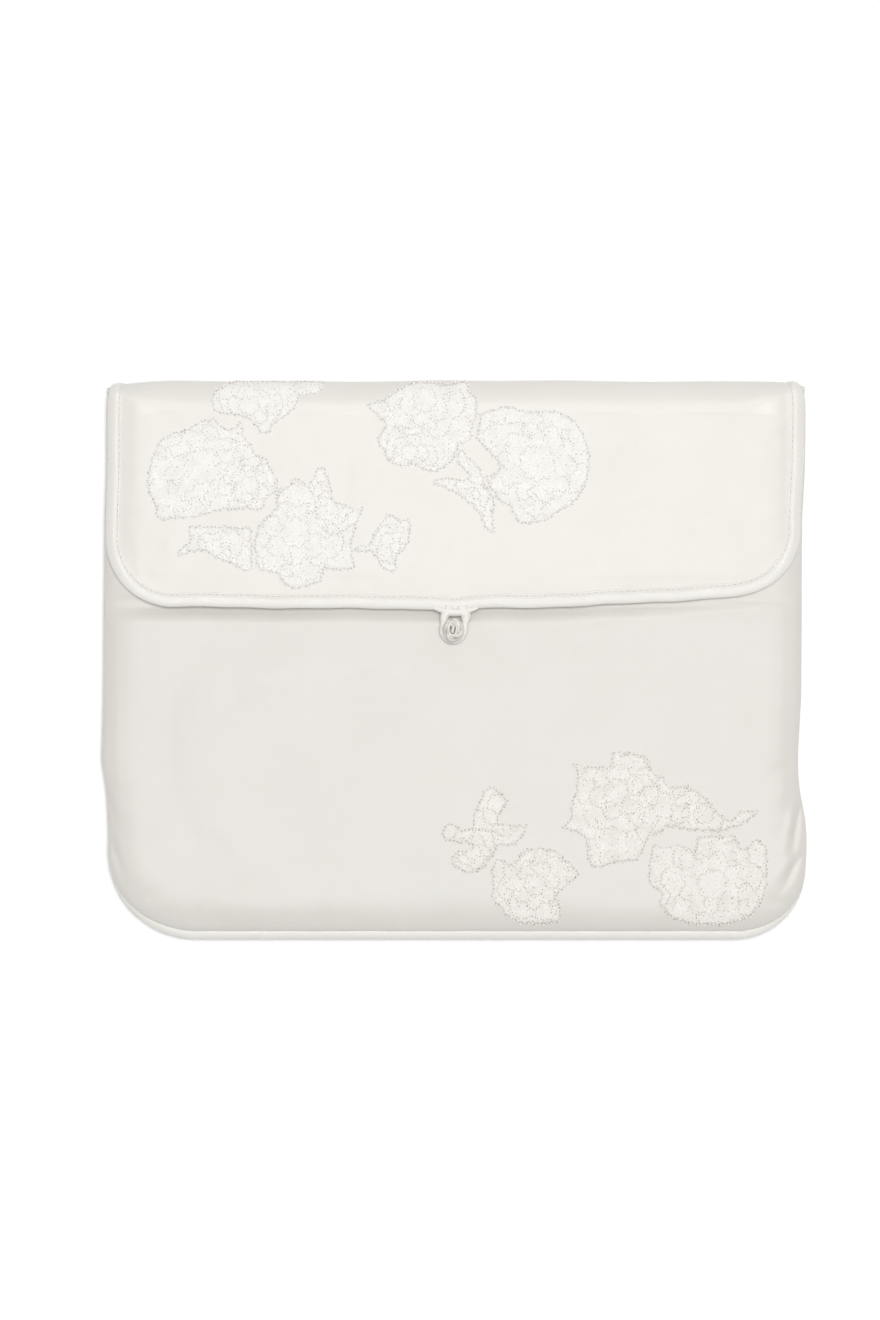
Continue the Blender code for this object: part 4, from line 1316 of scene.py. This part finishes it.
shank_x, shank_y, _ = middle_of(SHANK_LOW, SHANK_HIGH)
shank_radius = (SHANK_HIGH[0] - SHANK_LOW[0]) / 2
levels = []
for step, z in enumerate(np.linspace(SHANK_LOW[2], BALL_LOW[2] + 1.2, SHANK_LEVELS)):
    waist = shank_radius * (1 - SHANK_WAIST * math.sin(math.pi * step / (SHANK_LEVELS - 1)))
    levels.append((shank_x + 0.15 * math.sin(z * 3), shank_y, z, waist, waist))
shank = merged("knot_neck", [stacked(levels, SHANK_SIDES)], KNOT_PAINTED_SHEEN_MATERIAL)
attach(shank, "knot")
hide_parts("knot_shank")

FOOT_WINDS = 9
FOOT_THREAD = 0.32
foot_width = FOOT_HIGH[0] - FOOT_LOW[0]
foot_x, foot_y, _ = middle_of(FOOT_LOW, FOOT_HIGH)
winds = []
for number in range(FOOT_WINDS):
    turn = math.pi * number / FOOT_WINDS
    spot = np.array([foot_x, foot_y, FOOT_LOW[2] + 0.2 + 0.02 * number])
    winds.append(capsule(spot, (math.cos(turn), math.sin(turn), 0), foot_width, FOOT_THREAD))
foot = merged("knot_foot_stitches", winds, THREAD_MATERIAL)
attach(foot, "pouch")
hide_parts("knot_foot")

# The loop and the tab that holds its ends under the flap's edge
LOOP_RADIUS = 1.5
LOOP_FLATNESS = 0.6
LOOP_SIDES = 14
LOOP_PITCH = 0.45
LEGS_ASIDE = 0.5
LEG_SWELL_RIGHT = 1.15
LEG_SWELL_LEFT = 0.75
loop_x, _, loop_z = middle_of(LOOP_LOW, LOOP_HIGH)
loop_x += LEGS_ASIDE
loop_reach = (LOOP_HIGH[0] - LOOP_LOW[0]) / 2 - LOOP_RADIUS
knot_x, knot_y, _ = BALL_MIDDLE
leg_heights = (TAB_HIGH[1] + 2.2, TAB_HIGH[1] - 0.2, TAB_LOW[1] - 0.6)
leg_lifts = (0.2, 0.2, 0)
right_leg = [
    (loop_x + loop_reach - inwards, y, loop_z + lift)
    for inwards, y, lift in zip((1.8, 1.5, 0.2), leg_heights, leg_lifts)
]
left_leg = [
    (loop_x - loop_reach + inwards, y, loop_z + lift)
    for inwards, y, lift in zip((2.2, 1.8, 0.1), leg_heights, leg_lifts)
]
bow = []
for turn in np.linspace(0, -math.pi, 25):
    bow.append((knot_x + loop_reach * math.cos(turn), knot_y + loop_reach * math.sin(turn), loop_z))
loop_path = right_leg + bow + left_leg[::-1]
loop_path = walk(loop_path, LOOP_PITCH, closed=False)
for _ in range(6):
    loop_path[1:-1] = (loop_path[:-2] + loop_path[1:-1] * 2 + loop_path[2:]) / 4
leg = np.clip((loop_path[:, 1] - knot_y - 3.4) / 4, 0, 1)
widening = leg * np.where(loop_path[:, 0] > knot_x, LEG_SWELL_RIGHT, LEG_SWELL_LEFT)
loop_shape = rouleau(loop_path, LOOP_RADIUS + widening, LOOP_SIDES, False, LOOP_FLATNESS)
loop = merged("loop_rouleau", [loop_shape], BINDING_MATERIAL)
outwards(loop)
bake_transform(loop)
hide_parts("button_loop")

TAB_OVERHANG = 5
TAB_BEND = 2.4
TAB_END_RADIUS = 0.7
TAB_SWELL = 1.3
TAB_FLATNESS = 0.75
TAB_PULLS = 0.05
tab_x, tab_y, tab_z = middle_of(TAB_LOW, TAB_HIGH)
tab_half = (TAB_HIGH[0] - TAB_LOW[0]) / 2
tab_steps = np.linspace(-1, 1, 37)
tab_path = np.stack([
    tab_x + (tab_half + TAB_OVERHANG) * tab_steps,
    tab_y - 0.3 + TAB_BEND * np.abs(tab_steps) ** 1.5,
    np.full_like(tab_steps, tab_z + 0.2),
], -1)
tab_radius = TAB_END_RADIUS + TAB_SWELL * np.cos(tab_steps * math.pi / 2)
tab_shape = rouleau(tab_path, tab_radius, LOOP_SIDES, False, TAB_FLATNESS, TAB_PULLS)
tab = merged("loop_tab_cloth", [tab_shape], BINDING_MATERIAL)
outwards(tab)
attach(tab, "flap")
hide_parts("loop_tab")
BAR_PLACES = (-4.2, -2.6, 3.0, 4.6)
BAR_WAY = (0.25, 1, 0.1)
BAR_LENGTH = 2.4
BAR_RADIUS = 0.3
bars = []
for step in BAR_PLACES:
    spot = np.array([tab_x + step, TAB_HIGH[1] + 0.9, loop_z + 1.35])
    bars.append(capsule(spot, BAR_WAY, BAR_LENGTH, BAR_RADIUS))
bar_stitches = merged("loop_bar_stitches", bars, THREAD_MATERIAL)
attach(bar_stitches, "flap")

# ---- floor, light and camera


FLOOR_HALF = 2500
FLOOR_Z = -0.3
WORLD_STRENGTH = 0.45
SOFTBOX_SIZE = 0.7
SOFTBOX_POWER = 39.5
SOFTBOX_PLACE = (0.12, 0.2, 2.4)
LENS_MM = 100
CAMERA_PLACE = (-0.0066, 0, 1.69)

floor_material = bpy.data.materials.new("white_floor")
floor_material.use_nodes = True
floor_shader = floor_material.node_tree.nodes["Principled BSDF"]
floor_shader.inputs["Base Color"].default_value = (0.96, 0.96, 0.96, 1)
floor_shader.inputs["Roughness"].default_value = 0.9
floor_shader.inputs["Specular IOR Level"].default_value = 0.2
floor_corners = [(FLOOR_HALF * x, FLOOR_HALF * y, FLOOR_Z) for x, y in ((-1, -1), (1, -1), (1, 1), (-1, 1))]
floor = make_object("floor", floor_corners, [(0, 1, 2, 3)], floor_material)
floor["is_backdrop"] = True

scene = bpy.context.scene
scene.view_settings.view_transform = "Standard"
world = bpy.data.worlds.new("studio")
scene.world = world
world.use_nodes = True
world.node_tree.nodes["Background"].inputs["Color"].default_value = (1, 1, 1, 1)
world.node_tree.nodes["Background"].inputs["Strength"].default_value = WORLD_STRENGTH

# One square softbox overhead, aimed at the middle of the floor
light = bpy.data.lights.new("overhead", "AREA")
light.shape = "SQUARE"
light.size = SOFTBOX_SIZE
light.energy = SOFTBOX_POWER
softbox = bpy.data.objects.new("overhead", light)
scene.collection.objects.link(softbox)
softbox.location = SOFTBOX_PLACE
softbox.rotation_euler = (-softbox.location).to_track_quat("-Z", "Y").to_euler()
softbox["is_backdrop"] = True

lens = bpy.data.cameras.new("overhead_camera")
lens.sensor_fit = "VERTICAL"
lens.sensor_height = 36
lens.lens = LENS_MM
camera = bpy.data.objects.new("overhead_camera", lens)
scene.collection.objects.link(camera)
camera.location = CAMERA_PLACE
scene.camera = camera

[[list(corner) for corner in bounds] for bounds in (CAD_BOUNDS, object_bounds())]
